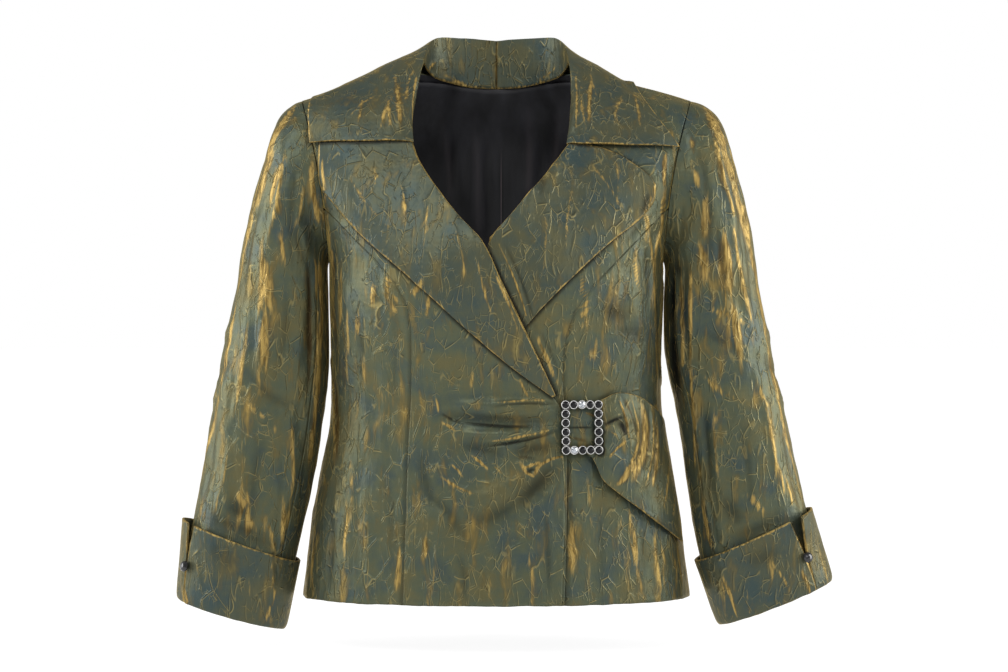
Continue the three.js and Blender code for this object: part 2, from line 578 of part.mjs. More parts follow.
/**
 * A panel that runs from the hem up to the shoulder seam. Its inner edge is a line x(z), its
 * outer edge is x(z) up to splitZ and the armhole above it. Offsets are of the wall's two faces.
 */
function shoulderPanel({ sign, back, columns, rowZ, splitZ, inner, outer, topInner, topZ, lift }) {
  const armholeAt = (z) => {
    const turn = armholeTurn(z);
    return armhole(back ? 360 - turn : turn);
  };
  const point = (x, z, offset) => {
    const rise = lift ? lift(sign * x, z) : 0;
    return onForm(sign * x, z, offset + rise, back);
  };
  const face = (offset) => {
    const grid = [];
    for (const z of rowZ) {
      grid.push(columns.map((u) => point(lerp(inner(z), outer(z), u), z, offset)));
    }
    for (const v of shares(GRID.upperRows).slice(1)) {
      const settled = 1 - (1 - v) ** YOKE_POWER;
      const innerZ = lerp(splitZ, topInner, settled);
      const edgeZ = lerp(splitZ, SHOULDER_Z - SHOULDER_GAP.end, settled);
      const edge = armholeAt(edgeZ);
      grid.push(columns.map((u) => {
        const x = lerp(inner(innerZ), edge.x - SEAM_GAP, u);
        const z = lerp(innerZ, edgeZ, u);
        const top = topZ(x) - (back ? SHOULDER_GAP.back : SHOULDER_GAP.front);
        const straight = lerp(topInner, SHOULDER_Z - SHOULDER_GAP.end, u);
        const p = point(x, z + (top - straight) * settled * settled, offset);
        const exact = onForm(sign * (edge.x - SEAM_GAP), edgeZ, offset, back);
        const seat = new THREE.Vector3(sign * (edge.x - SEAM_GAP), edge.y, edgeZ);
        const normal = exact.clone().sub(onForm(sign * (edge.x - SEAM_GAP), edgeZ, 0, back));
        const wanted = seat.add(normal).sub(exact);
        return p.addScaledVector(wanted, u ** ARMHOLE_PULL);
      }));
    }
    return grid;
  };
  return wallBetween(face(0), face(-CLOTH));
}

/** Height of the pleats on the right front at a point. */
function pleatHeight(x, z) {
  let height = 0;
  for (const pleat of PLEATS) {
    const along = (pleat.fromX - x) / (pleat.fromX - pleat.toX);
    if (along <= -PLEAT_ENDS.before || along >= 1) continue;
    const t = clamp(along, 0, 1);
    const line = lerp(pleat.fromZ, pleat.toZ, t) + pleat.bow * Math.sin(Math.PI * t);
    const half = pleat.half * (1 + PLEAT_ENDS.spread * t);
    const crest = Math.exp(-(((z - line) / half) ** 2));
    const fade = ease((1 - along) / PLEAT_ENDS.fade) * ease(1 + along / PLEAT_ENDS.before);
    height = Math.max(height, pleat.height * crest * fade);
  }
  return height;
}

/** How far the right front stands off the form, where it lies over the left front. */
function rightFrontLift(x, z) {
  const roll = readAt(RIGHT_ROLL_UP, 'z', z).x;
  const onUnder = (CLOTH + UNDER_GAP) * ease((x + UNDER_SPAN.x) / UNDER_SPAN.wide)
    * ease((UNDER_SPAN.z - z) / UNDER_SPAN.high);
  const nearRoll = 1 - ease((roll - x - LIFT_SPAN.in) / LIFT_SPAN.wide);
  const below = ease((LIFT_SPAN.top - z) / LIFT_SPAN.high)
    * ease((z - LIFT_SPAN.foot) / LIFT_SPAN.low);
  return onUnder + LAPEL_LIFT * nearRoll * below + pleatHeight(x, z);
}

const backNeckZ = (x) => ridgeZ(NECK_HALF) * (x / NECK_HALF) ** 2;

/** Top edge of a back panel: the neck seam, then the shoulder seam. */
function backTop(x) {
  return Math.abs(x) < NECK_HALF ? backNeckZ(x) - SHOULDER_GAP.neck : ridgeZ(x);
}

/** One half of the back, from the centre seam to the side seam and armhole. */
function backPanel(sign) {
  return shoulderPanel({
    sign,
    back: true,
    columns: shares(GRID.backColumns, COLUMN_CROWDING.back),
    rowZ: heights(UNDERARM_Z),
    splitZ: UNDERARM_Z,
    inner: () => SEAM_GAP / 2,
    outer: (z) => readAt(LEVELS_UP, 'z', z).half * SIDE_SEAM_SHARE,
    topInner: -SHOULDER_GAP.neck,
    topZ: backTop,
  });
}

/** How far a front's edge is set back from its roll line at a height. */
function edgeSetBack(z) {
  const atBreak = (z - BREAK_Z + BREAK_SPAN.below) / BREAK_SPAN.over;
  const atNotch = (z - NOTCH_Z + NOTCH_SPAN.below) / NOTCH_SPAN.over;
  return lerp(lerp(PLAIN_LIP, LAPEL_LIP, ease(atBreak)), NECK_LIP, ease(atNotch));
}

/** The front beside the opening; over is the right front, which laps over the left one. */
function frontPanel(sign) {
  const over = sign < 0;
  const roll = over ? RIGHT_ROLL_UP : LEFT_ROLL_UP;
  const princess = over ? RIGHT_PRINCESS_UP : LEFT_PRINCESS_UP;
  const armholeX = (z) => armhole(armholeTurn(z)).x;
  return shoulderPanel({
    sign,
    back: false,
    columns: shares(over ? GRID.frontColumns : GRID.underColumns),
    rowZ: frontHeights(over),
    splitZ: PRINCESS_TOP_Z,
    inner: (z) => sign * readAt(roll, 'z', z).x + edgeSetBack(z),
    outer: (z) => Math.min(readAt(princess, 'z', z).x, armholeX(z)) - SEAM_GAP / 2,
    topInner: ridgeZ(NECK_HALF + NECK_LIP),
    topZ: ridgeZ,
    lift: over ? rightFrontLift : null,
  });
}

/** The side of the front, from the princess seam to the side seam and lower armhole. */
function sideFront(sign) {
  const princess = sign < 0 ? RIGHT_PRINCESS_UP : LEFT_PRINCESS_UP;
  const rowZ = frontHeights(sign < 0).map((z) => Math.min(z, PRINCESS_TOP_Z - SIDE_TOP_DROP));
  const columns = shares(GRID.sideColumns, COLUMN_CROWDING.side);
  const face = (offset) => gridOf(rowZ, columns, (u, z) => {
    const from = turnAt(readAt(princess, 'z', z).x + SEAM_GAP / 2, z, false);
    const edge = z <= UNDERARM_Z ? null : armhole(armholeTurn(z));
    const to = edge ? turnAt(edge.x - SEAM_GAP, z, false) : SIDE_TURN;
    const p = raised(lerp(from, to, u), z, offset);
    return new THREE.Vector3(sign * p.x, p.y, p.z);
  });
  return wallBetween(face(0), face(-CLOTH));
}

/** The back lining that shows in the neck, with its centre pleat. */
function backLining() {
  const { half, rise, top, settle, side, depth, short, neckDrop, shoulderDrop } = LINING_BACK;
  const low = HEM_Z + short;
  const face = (offset) => gridOf(shares(GRID.liningColumns), shares(GRID.liningRows), (v, u) => {
    const x = (v * 2 - 1) * side;
    const edge = Math.abs(x) < NECK_HALF ? backNeckZ(x) - neckDrop : ridgeZ(x) - shoulderDrop;
    const z = lerp(low, edge, u);
    const fold = rise * Math.exp(-((x / half) ** 2)) * ease((top - z) / settle);
    return onForm(x, z, offset - depth - fold, true);
  });
  return wallBetween(face(0), face(-LINING));
}

/** A lapel: a wall that wraps the front's edge at the roll line and lies out over the front. */
function lapel(rows, over, bow, base) {
  const mid = CLOTH / 2;
  const lines = shares(GRID.lapelRows).map((s) => {
    const row = readAt(rows, 's', s);
    const width = Math.hypot(row.edgeX - row.rollX, row.edgeZ - row.rollZ);
    const tucked = over ? 0 : ease((s - TUCK_SPAN.from) / TUCK_SPAN.over);
    const place = (set, offset) => {
      const t = set / Math.max(width, LAPEL_FOOT.least);
      const arch = bow * Math.sin(Math.PI * t) * (1 - ease(s / LAPEL_BOW_SPAN));
      const x = lerp(row.rollX, row.edgeX, t);
      return onForm(x, lerp(row.rollZ, row.edgeZ, t) + arch, offset);
    };
    const topAt = (set) => {
      const t = set / Math.max(width, LAPEL_FOOT.least);
      const x = lerp(row.rollX, row.edgeX, t);
      const z = lerp(row.rollZ, row.edgeZ, t);
      const roll = LAPEL_ROLL_RISE * Math.exp(-set / LAPEL_ROLL_REACH) * (1 - tucked);
      return base(x, z) + lerp(LAPEL_CLEAR, LAPEL_TUCK, tucked) + mid + roll;
    };
    const behind = base(row.rollX, row.rollZ) - CLOTH + LAPEL_FOOT.inset;
    const foot = lerp(behind, LAPEL_TUCK + mid, tucked);
    const wrap = LAPEL_WRAP.map((p) => place(p.set, lerp(foot, topAt(p.set), p.up)));
    const flat = shares(GRID.lapelColumns, COLUMN_CROWDING.lapel).map((t) => {
      const set = lerp(LAPEL_FOOT.flat, Math.max(width, LAPEL_FOOT.leastFlat), t);
      return place(set, topAt(set));
    });
    return [...wrap, ...flat];
  });
  return wallAbout(lines, CLOTH);
}

/** Half of the collar: the stand rises inside the neck, rolls over and falls on the body. */
function collarHalf(rows, sign) {
  const mid = CLOTH / 2;
  const lines = shares(GRID.collarStations).map((s) => {
    const row = readAt(rows, 's', s);
    const seam = onFormBehind(row.seamX, row.seamY, -CLOTH - LAYER_GAP - mid - STAND.inset);
    const roll = new THREE.Vector3(row.rollX, row.rollY, row.rollZ);
    const footZ = Math.max(seam.z - STAND.drop, roll.z - STAND.most);
    const foot = new THREE.Vector3(seam.x, seam.y, footZ);
    const standing = 1 - (s - STAND_SPAN.from) / STAND_SPAN.over;
    const base = roll.clone().lerp(foot, lerp(STAND.frontShare, 1, ease(standing)));
    const rest = onFormBehind(row.seamX, row.seamY, COLLAR_CLEAR);
    const onFront = ease((s - FRONT_SPAN.from) / FRONT_SPAN.over);
    const lift = roll.clone().sub(rest);
    const fall = (t) => {
      const x = lerp(row.seamX, row.edgeX, t);
      const p = onFormBehind(x, lerp(row.seamY, row.edgeY, t), COLLAR_CLEAR);
      const z = ridgeZ(x) - lerp(row.seamDrop, row.edgeDrop, t);
      if (onFront > 0) p.lerp(onForm(x, z, COLLAR_CLEAR), onFront);
      p.addScaledVector(lift, (1 - t) ** row.settle);
      p.z += row.arch * Math.sin(Math.PI * t);
      return clearOfForm(p, COLLAR_CLEAR, RIDGE_CLEAR * (1 - COLLAR_TURN.settled * t));
    };
    const out = fall(COLLAR_TURN.from).sub(roll).normalize();
    const turn = roll.clone().addScaledVector(out, COLLAR_TURN.out);
    turn.z += COLLAR_TURN.up;
    const crest = clearOfForm(turn, COLLAR_CLEAR * COLLAR_TURN.clear, 0);
    const stand = [0, STAND.middle, STAND.upper].map((t) => base.clone().lerp(roll, t));
    const places = shares(GRID.collarColumns).slice(1);
    const drape = places.map((t) => fall(lerp(COLLAR_TURN.first, 1, t)));
    const line = [...stand, roll, crest, ...drape];
    return line.map((p) => new THREE.Vector3(sign * (p.x + SEAM_GAP / 2), p.y, p.z));
  });
  return wallAbout(lines, CLOTH);
}

/** A point of the sleeve's middle surface; x is positive. */
function sleevePoint(rows, s, degrees) {
  const row = readAt(rows, 's', s);
  const a = radians(degrees);
  const outer = new THREE.Vector3(row.outX, row.y, row.outZ);
  const inner = new THREE.Vector3(row.inX, row.y, row.inZ);
  const centre = outer.clone().add(inner).multiplyScalar(0.5);
  const half = outer.sub(inner).multiplyScalar(0.5);
  const oval = centre.addScaledVector(half, Math.cos(a));
  oval.y -= row.deep * Math.sin(a);
  const start = armhole(degrees);
  start.x += SEAM_GAP;
  return start.lerp(oval, ease(s / CAP_BLEND));
}

/** One of a sleeve's two pieces, between two lines that run down it. */
function sleevePiece(rows, sign, fromTurn, toTurn, columns) {
  const rowShares = shares(GRID.sleeveRows, COLUMN_CROWDING.sleeve);
  const lines = rowShares.map((s) => shares(columns).map((t) => {
    const turn = lerp(fromTurn + SEAM_TURN, toTurn - SEAM_TURN, t);
    const p = sleevePoint(rows, s, turn);
    return new THREE.Vector3(sign * p.x, p.y, p.z);
  }));
  return wallAbout(lines, CLOTH);
}

/** A point of a cuff's middle surface: v is 0 at the top edge and 1 at the fold. */
function cuffPoint(cuff, sign, v, degrees, inset) {
  const a = radians(degrees);
  const outX = lerp(cuff.topOutX, cuff.footOutX, v);
  const outZ = lerp(cuff.topOutZ, cuff.footOutZ, v);
  const inX = lerp(cuff.topInX, cuff.footInX, v);
  const inZ = lerp(cuff.topInZ, cuff.footInZ, v);
  const half = new THREE.Vector3(outX - inX, 0, outZ - inZ).multiplyScalar(0.5);
  const radius = half.length();
  half.multiplyScalar((radius - inset) / radius * Math.cos(a));
  const deep = lerp(cuff.topDeep, cuff.footDeep, v) - inset;
  const p = new THREE.Vector3((outX + inX) / 2, CUFF_Y, (outZ + inZ) / 2).add(half);
  p.y -= deep * Math.sin(a);
  return new THREE.Vector3(sign * p.x, p.y, p.z);
}

/** A turned-back cuff, split near its outer line, with one end of the split standing off. */
function cuffPiece(cuff, sign) {
  const rows = [...shares(GRID.cuffRows).map((v) => ({ v, inset: 0 })), ...CUFF_FOLD];
  const lines = rows.map((row) => shares(GRID.cuffColumns).map((t) => {
    const open = WING.notch * clamp(1 - row.v / WING.high, 0, 1);
    const from = cuff.split + CUFF_SPLIT + open;
    const to = cuff.split + 360 - CUFF_SPLIT - open * WING.notchBack;
    const turn = lerp(from, to, t);
    const near = ease(1 - (to - turn) / WING.spread) * ease(1 - row.v / WING.high);
    return cuffPoint(cuff, sign, row.v, turn, row.inset - cuff.rise * near);
  }));
  return wallAbout(lines, CUFF_WALL);
}

/** A domed cuff button, turned from a profile, seated on the cuff. */
function cuffButton(cuff, sign) {
  const { radius, height, along, turn, shank, sides } = BUTTON;
  const profile = BUTTON_PROFILE.map(([x, y]) => new THREE.Vector2(x * radius, y * height));
  const geometry = new THREE.LatheGeometry(profile, sides);
  const seat = cuffPoint(cuff, sign, along, cuff.split + turn, 0);
  const out = cuffPoint(cuff, sign, along, cuff.split + turn, -radius).sub(seat).normalize();
  const placed = new THREE.Group();
  placed.position.copy(seat).addScaledVector(out, CUFF_WALL / 2 + shank);
  placed.quaternion.setFromUnitVectors(new THREE.Vector3(0, 1, 0), out);
  return { geometry, placed };
}

/** The sash: it comes through the buckle, opens out and is caught in the side seam. */
function sash() {
  const lines = shares(GRID.sashRows).map((s) => {
    const row = readAt(SASH, 's', s);
    return shares(GRID.sashColumns).map((t) => {
      const x = lerp(row.topX, row.footX, t);
      const z = lerp(row.topZ, row.footZ, t);
      const crown = Math.sin(Math.PI * t) ** SASH_CROWN;
      const held = s < SASH_PLEATS.to ? SASH_PLEATS.calm : 1;
      const fade = Math.sin(Math.PI * t) * ease((1 - s) / SASH_PLEATS.fade) * held;
      const wave = SASH_PLEATS.height * fade * Math.cos(2 * Math.PI * SASH_PLEATS.count * t);
      return onForm(x, z, lerp(row.edge, row.mid, crown) + wave);
    });
  });
  return wallAbout(lines, SASH_WALL);
}

/** Places of the buckle's settings, round its rectangle. */
function settings() {
  const found = [];
  for (let row = 0; row < BUCKLE.rows; row += 1) {
    for (let column = 0; column < BUCKLE.columns; column += 1) {
      const edge = row === 0 || row === BUCKLE.rows - 1
        || column === 0 || column === BUCKLE.columns - 1;
      if (!edge) continue;
      found.push(new THREE.Vector2(
        (column - (BUCKLE.columns - 1) / 2) * BUCKLE.pitchX,
        ((BUCKLE.rows - 1) / 2 - row) * BUCKLE.pitchZ,
      ));
    }
  }
  return found;
}

/** A regular polygon as a path, for a setting's outline or hole. */
function polygonPath(centre, radius, sides) {
  const path = new THREE.Path();
  for (let i = 0; i < sides; i += 1) {
    const a = (i + 0.5) / sides * 2 * Math.PI;
    const x = centre.x + radius * Math.cos(a);
    const y = centre.y + radius * Math.sin(a);
    if (i === 0) path.moveTo(x, y);
    else path.lineTo(x, y);
  }
  path.closePath();
  return path;
}

/** Outline of the buckle's plate, scalloped once for each setting, outside or inside. */
function scalloped(inside) {
  const halfX = (BUCKLE.columns - 1) / 2 * BUCKLE.pitchX;
  const halfZ = (BUCKLE.rows - 1) / 2 * BUCKLE.pitchZ;
  const sides = [
    { from: [-halfX, -halfZ], step: [BUCKLE.pitchX, 0], count: BUCKLE.columns, out: -90 },
    { from: [halfX, -halfZ], step: [0, BUCKLE.pitchZ], count: BUCKLE.rows, out: 0 },
    { from: [halfX, halfZ], step: [-BUCKLE.pitchX, 0], count: BUCKLE.columns, out: 90 },
    { from: [-halfX, halfZ], step: [0, -BUCKLE.pitchZ], count: BUCKLE.rows, out: 180 },
  ];
  const points = [];
  for (const side of sides) {
    const first = inside ? 1 : 0;
    const last = side.count - 1 - first;
    for (let i = first; i <= last; i += 1) {
      const corner = i === 0;
      if (!inside && i === side.count - 1) continue;
      const centre = [side.from[0] + side.step[0] * i, side.from[1] + side.step[1] * i];
      const outside = corner ? [-90, -45, 0, 45, 90] : [-45, 0, 45];
      const turns = inside ? [225, 180, 135] : outside;
      const facing = side.out - (corner && !inside ? 45 : 0);
      for (const turn of turns) {
        const a = radians(facing + turn);
        points.push(new THREE.Vector2(
          centre[0] + BUCKLE.settingR * Math.cos(a),
          centre[1] + BUCKLE.settingR * Math.sin(a),
        ));
      }
    }
  }
  return points;
}

/** Group that carries the buckle, square to the form under it. */
function buckleGroup() {
  const placed = new THREE.Group();
  const seat = onForm(BUCKLE.x, BUCKLE.z, BUCKLE.offset);
  const out = seat.clone().sub(onForm(BUCKLE.x, BUCKLE.z, 0)).normalize();
  placed.position.copy(seat);
  const across = new THREE.Vector3(0, 0, 1).cross(out).normalize();
  const up = out.clone().cross(across);
  placed.quaternion.setFromRotationMatrix(new THREE.Matrix4().makeBasis(across, up, out));
  return placed;
}

/** The buckle's plate, with a hole for each stone. */
function bucklePlate() {
  const shape = new THREE.Shape(scalloped(false));
  shape.holes.push(new THREE.Path(scalloped(true)));
  for (const place of settings()) {
    shape.holes.push(polygonPath(place, BUCKLE.stoneR, BUCKLE.sides));
  }
  return new THREE.ExtrudeGeometry(shape, { depth: BUCKLE.plate, bevelEnabled: false });
}

/** A cut stone with a flat table. */
function stoneGeometry() {
  const radius = BUCKLE.stoneR - STONE.gap;
  const profile = [[0, 0], [radius * STONE.footShare, 0], [radius, STONE.seat],
    [STONE.tableR, STONE.seat + STONE.crown], [0, STONE.seat + STONE.crown]]
    .map(([x, y]) => new THREE.Vector2(x, y));
  const geometry = new THREE.LatheGeometry(profile, BUCKLE.sides);
  geometry.rotateX(Math.PI / 2);
  geometry.rotateZ(Math.PI / BUCKLE.sides);
  return geometry;
}

const blazer = new THREE.Group();

/** Adds one named piece to the blazer, or to a group of it. */
function add(name, geometry, look, parent = blazer) {
  const mesh = new THREE.Mesh(geometry, new THREE.MeshStandardMaterial(COLOURS[look]));
  mesh.name = name;
  parent.add(mesh);
}

const SIDES = [
  { name: 'right', sign: -1, collar: RIGHT_COLLAR, sleeve: RIGHT_SLEEVE, cuff: RIGHT_CUFF },
  { name: 'left', sign: 1, collar: LEFT_COLLAR, sleeve: LEFT_SLEEVE, cuff: LEFT_CUFF },
];

for (const { name, sign, collar, sleeve, cuff } of SIDES) {
  add(`back_${name}`, backPanel(sign), 'taffeta');
  add(`front_${name}`, frontPanel(sign), 'taffeta');
  add(`side_front_${name}`, sideFront(sign), 'taffeta');
  add(`collar_${name}`, collarHalf(collar, sign), 'taffeta');
  const upper = sleevePiece(sleeve, sign, HIND_SEAM - 360, FORE_SEAM, GRID.upperSleeve);
  const under = sleevePiece(sleeve, sign, FORE_SEAM, HIND_SEAM, GRID.underSleeve);
  add(`sleeve_upper_${name}`, upper, 'taffeta');
  add(`sleeve_under_${name}`, under, 'taffeta');
  add(`cuff_${name}`, cuffPiece(cuff, sign), 'taffeta');
  const button = cuffButton(cuff, sign);
  blazer.add(button.placed);
  add(`button_${name}`, button.geometry, 'button', button.placed);
}

add('lapel_right', lapel(RIGHT_LAPEL, true, 0, rightFrontLift), 'taffeta');
add('lapel_left', lapel(LEFT_LAPEL, false, LEFT_LAPEL_BOW, () => 0), 'taffeta');
add('lining_back', backLining(), 'lining');
add('sash', sash(), 'taffeta');

const buckle = buckleGroup();
blazer.add(buckle);
add('buckle', bucklePlate(), 'metal', buckle);
settings().forEach((place, i) => {
  const seat = new THREE.Group();
  seat.position.set(place.x, place.y, STONE.sunk);
  buckle.add(seat);
  add(`stone_${String(i + 1).padStart(2, '0')}`, stoneGeometry(), 'stone', seat);
});

export default blazer;
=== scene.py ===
"""The looks of a women's wrap blazer in crinkled shot taffeta, built around its CAD part.

Each cut piece of cloth is a thin shell on its solid's form, with its creases placed one by one.
The buckle's rims and stones are modelled as small hard parts, and its plate and the buttons keep
their own form.
"""

import json
import logging
import math
from dataclasses import dataclass, field
from enum import Enum
from typing import Any

import bmesh
import bpy
import numpy as np
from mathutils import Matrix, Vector, noise
from mathutils.bvhtree import BVHTree
from mathutils.kdtree import KDTree

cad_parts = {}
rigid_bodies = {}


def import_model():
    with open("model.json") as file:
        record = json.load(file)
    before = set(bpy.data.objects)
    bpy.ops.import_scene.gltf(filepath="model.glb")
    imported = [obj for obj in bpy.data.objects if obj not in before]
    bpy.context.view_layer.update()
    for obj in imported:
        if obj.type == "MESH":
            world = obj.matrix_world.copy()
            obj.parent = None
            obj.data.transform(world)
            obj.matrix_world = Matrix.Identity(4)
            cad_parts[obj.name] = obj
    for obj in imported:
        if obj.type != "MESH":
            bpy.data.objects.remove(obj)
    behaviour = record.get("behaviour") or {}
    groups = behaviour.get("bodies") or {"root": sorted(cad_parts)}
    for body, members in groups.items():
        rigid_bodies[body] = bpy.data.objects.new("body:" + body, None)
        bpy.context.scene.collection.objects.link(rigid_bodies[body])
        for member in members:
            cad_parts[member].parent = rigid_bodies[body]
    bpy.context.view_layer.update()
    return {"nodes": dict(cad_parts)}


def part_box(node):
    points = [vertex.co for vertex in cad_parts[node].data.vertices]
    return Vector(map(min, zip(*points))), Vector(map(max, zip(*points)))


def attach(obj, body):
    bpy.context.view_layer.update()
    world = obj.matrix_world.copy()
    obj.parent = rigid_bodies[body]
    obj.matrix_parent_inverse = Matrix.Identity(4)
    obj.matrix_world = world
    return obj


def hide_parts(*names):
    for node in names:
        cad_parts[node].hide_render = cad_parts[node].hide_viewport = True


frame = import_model()

logging.basicConfig(level=logging.INFO, format="%(message)s")
LOG = logging.getLogger("blazer")

MM = 0.001
ROOT = "root"
SHARP = math.radians(50)      # faces that meet at more than this are a wall and its edge
WAVE_TURNS = 20               # radians of a wave texture in each unit of its scale


# Small helpers ---------------------------------------------------------------------------------


def srgb(code: str) -> tuple[float, float, float, float]:
    """Turns an sRGB colour to the linear one that a shader reads.

    Args:
        code: The colour as six hex digits after a #.

    Returns:
        Linear red, green and blue, with an alpha of 1.
    """
    parts = [int(code[i:i + 2], 16) / 255 for i in (1, 3, 5)]
    linear = [p / 12.92 if p <= 0.04045 else ((p + 0.055) / 1.055) ** 2.4 for p in parts]
    return (linear[0], linear[1], linear[2], 1.0)


def add_node(tree: bpy.types.NodeTree, kind: str, inputs: dict[Any, Any] | None = None,
             **settings: Any) -> bpy.types.Node:
    """Adds a node with its settings, its values and its links.

    Args:
        tree: The node tree that gets the node.
        kind: The node's type name, without the words ShaderNode.
        inputs: Values or output sockets, keyed by input name or number.
        **settings: The node's own properties.

    Returns:
        The new node.
    """
    made = tree.nodes.new("ShaderNode" + kind)
    for name, value in settings.items():
        setattr(made, name, value)
    for key, value in (inputs or {}).items():
        if isinstance(value, bpy.types.NodeSocket):
            tree.links.new(value, made.inputs[key])
        else:
            made.inputs[key].default_value = value
    return made


def new_material(name: str) -> tuple[bpy.types.Material, bpy.types.NodeTree]:
    """Makes a material with an empty node tree.

    Args:
        name: The material's name.

    Returns:
        The material and its tree.
    """
    material = bpy.data.materials.new(name)
    material.use_nodes = True
    material.node_tree.nodes.clear()
    return material, material.node_tree


def ramp(tree: bpy.types.NodeTree, factor: bpy.types.NodeSocket,
         stops: list[tuple[float, tuple[float, float, float, float]]]) -> bpy.types.NodeSocket:
    """Colours a factor by stops.

    Args:
        tree: The node tree.
        factor: The socket that drives the ramp.
        stops: Places from 0 to 1, each with its colour.

    Returns:
        The ramp's colour socket.
    """
    made = add_node(tree, "ValToRGB", {0: factor})
    elements = made.color_ramp.elements
    while len(elements) < len(stops):
        elements.new(0.5)
    for element, (place, colour) in zip(elements, stops):
        element.position = place
        element.color = colour
    return made.outputs[0]


def calc(tree: bpy.types.NodeTree, operation: str, *values: Any) -> bpy.types.NodeSocket:
    """Works out one step of arithmetic on sockets and numbers."""
    return add_node(tree, "Math", dict(enumerate(values)), operation=operation).outputs[0]


def mix(tree: bpy.types.NodeTree, share: Any, under: Any, over: Any) -> bpy.types.NodeSocket:
    """Lays one colour over another by a share from 0 to 1."""
    return add_node(tree, "Mix", {0: share, 6: under, 7: over}, data_type="RGBA").outputs[2]


def rise(tree: bpy.types.NodeTree, value: Any, low: float, high: float, first: float,
         last: float) -> bpy.types.NodeSocket:
    """Goes smoothly from first, where the value is low, to last, where it is high."""
    return add_node(tree, "MapRange", {0: value, 1: low, 2: high, 3: first, 4: last},
                    interpolation_type="SMOOTHSTEP").outputs[0]


def stretch(tree: bpy.types.NodeTree, place: bpy.types.NodeSocket,
            cell: tuple[float, float]) -> bpy.types.NodeSocket:
    """Measures a place in cells of a width and a height in metres."""
    wide, high = cell
    return add_node(tree, "VectorMath", {0: place, 1: (1 / wide, 1 / wide, 1 / high)},
                    operation="MULTIPLY").outputs[0]


def written(tree: bpy.types.NodeTree, name: str) -> bpy.types.NodeSocket:
    """Reads an attribute that the cloth's creases wrote."""
    return add_node(tree, "Attribute", attribute_name=name).outputs["Fac"]


def deselect() -> None:
    """Clears the selection, because operators act on all that is selected."""
    for thing in bpy.context.view_layer.objects:
        thing.select_set(False)


def activate(thing: bpy.types.Object) -> None:
    """Makes one object the only selected and the active one."""
    deselect()
    thing.select_set(True)
    bpy.context.view_layer.objects.active = thing


def apply_place(thing: bpy.types.Object) -> None:
    """Moves an object's place, turn and scale into its mesh."""
    activate(thing)
    bpy.ops.object.transform_apply(location=True, rotation=True, scale=True)


def join(parts: list[bpy.types.Object], name: str) -> bpy.types.Object:
    """Joins objects into one piece.

    Args:
        parts: The objects to join.
        name: The piece's name.

    Returns:
        The joined object, with its place in its mesh.
    """
    activate(parts[0])
    for part in parts:
        part.select_set(True)
    if len(parts) > 1:
        bpy.ops.object.join()
    piece = bpy.context.view_layer.objects.active
    piece.name = name
    apply_place(piece)
    return piece


def smoothstep(values: np.ndarray, low: float, high: float) -> np.ndarray:
    """A smooth rise from 0 at low to 1 at high."""
    t = np.clip((values - low) / (high - low), 0, 1)
    return t * t * (3 - 2 * t)


# Finishes --------------------------------------------------------------------------------------


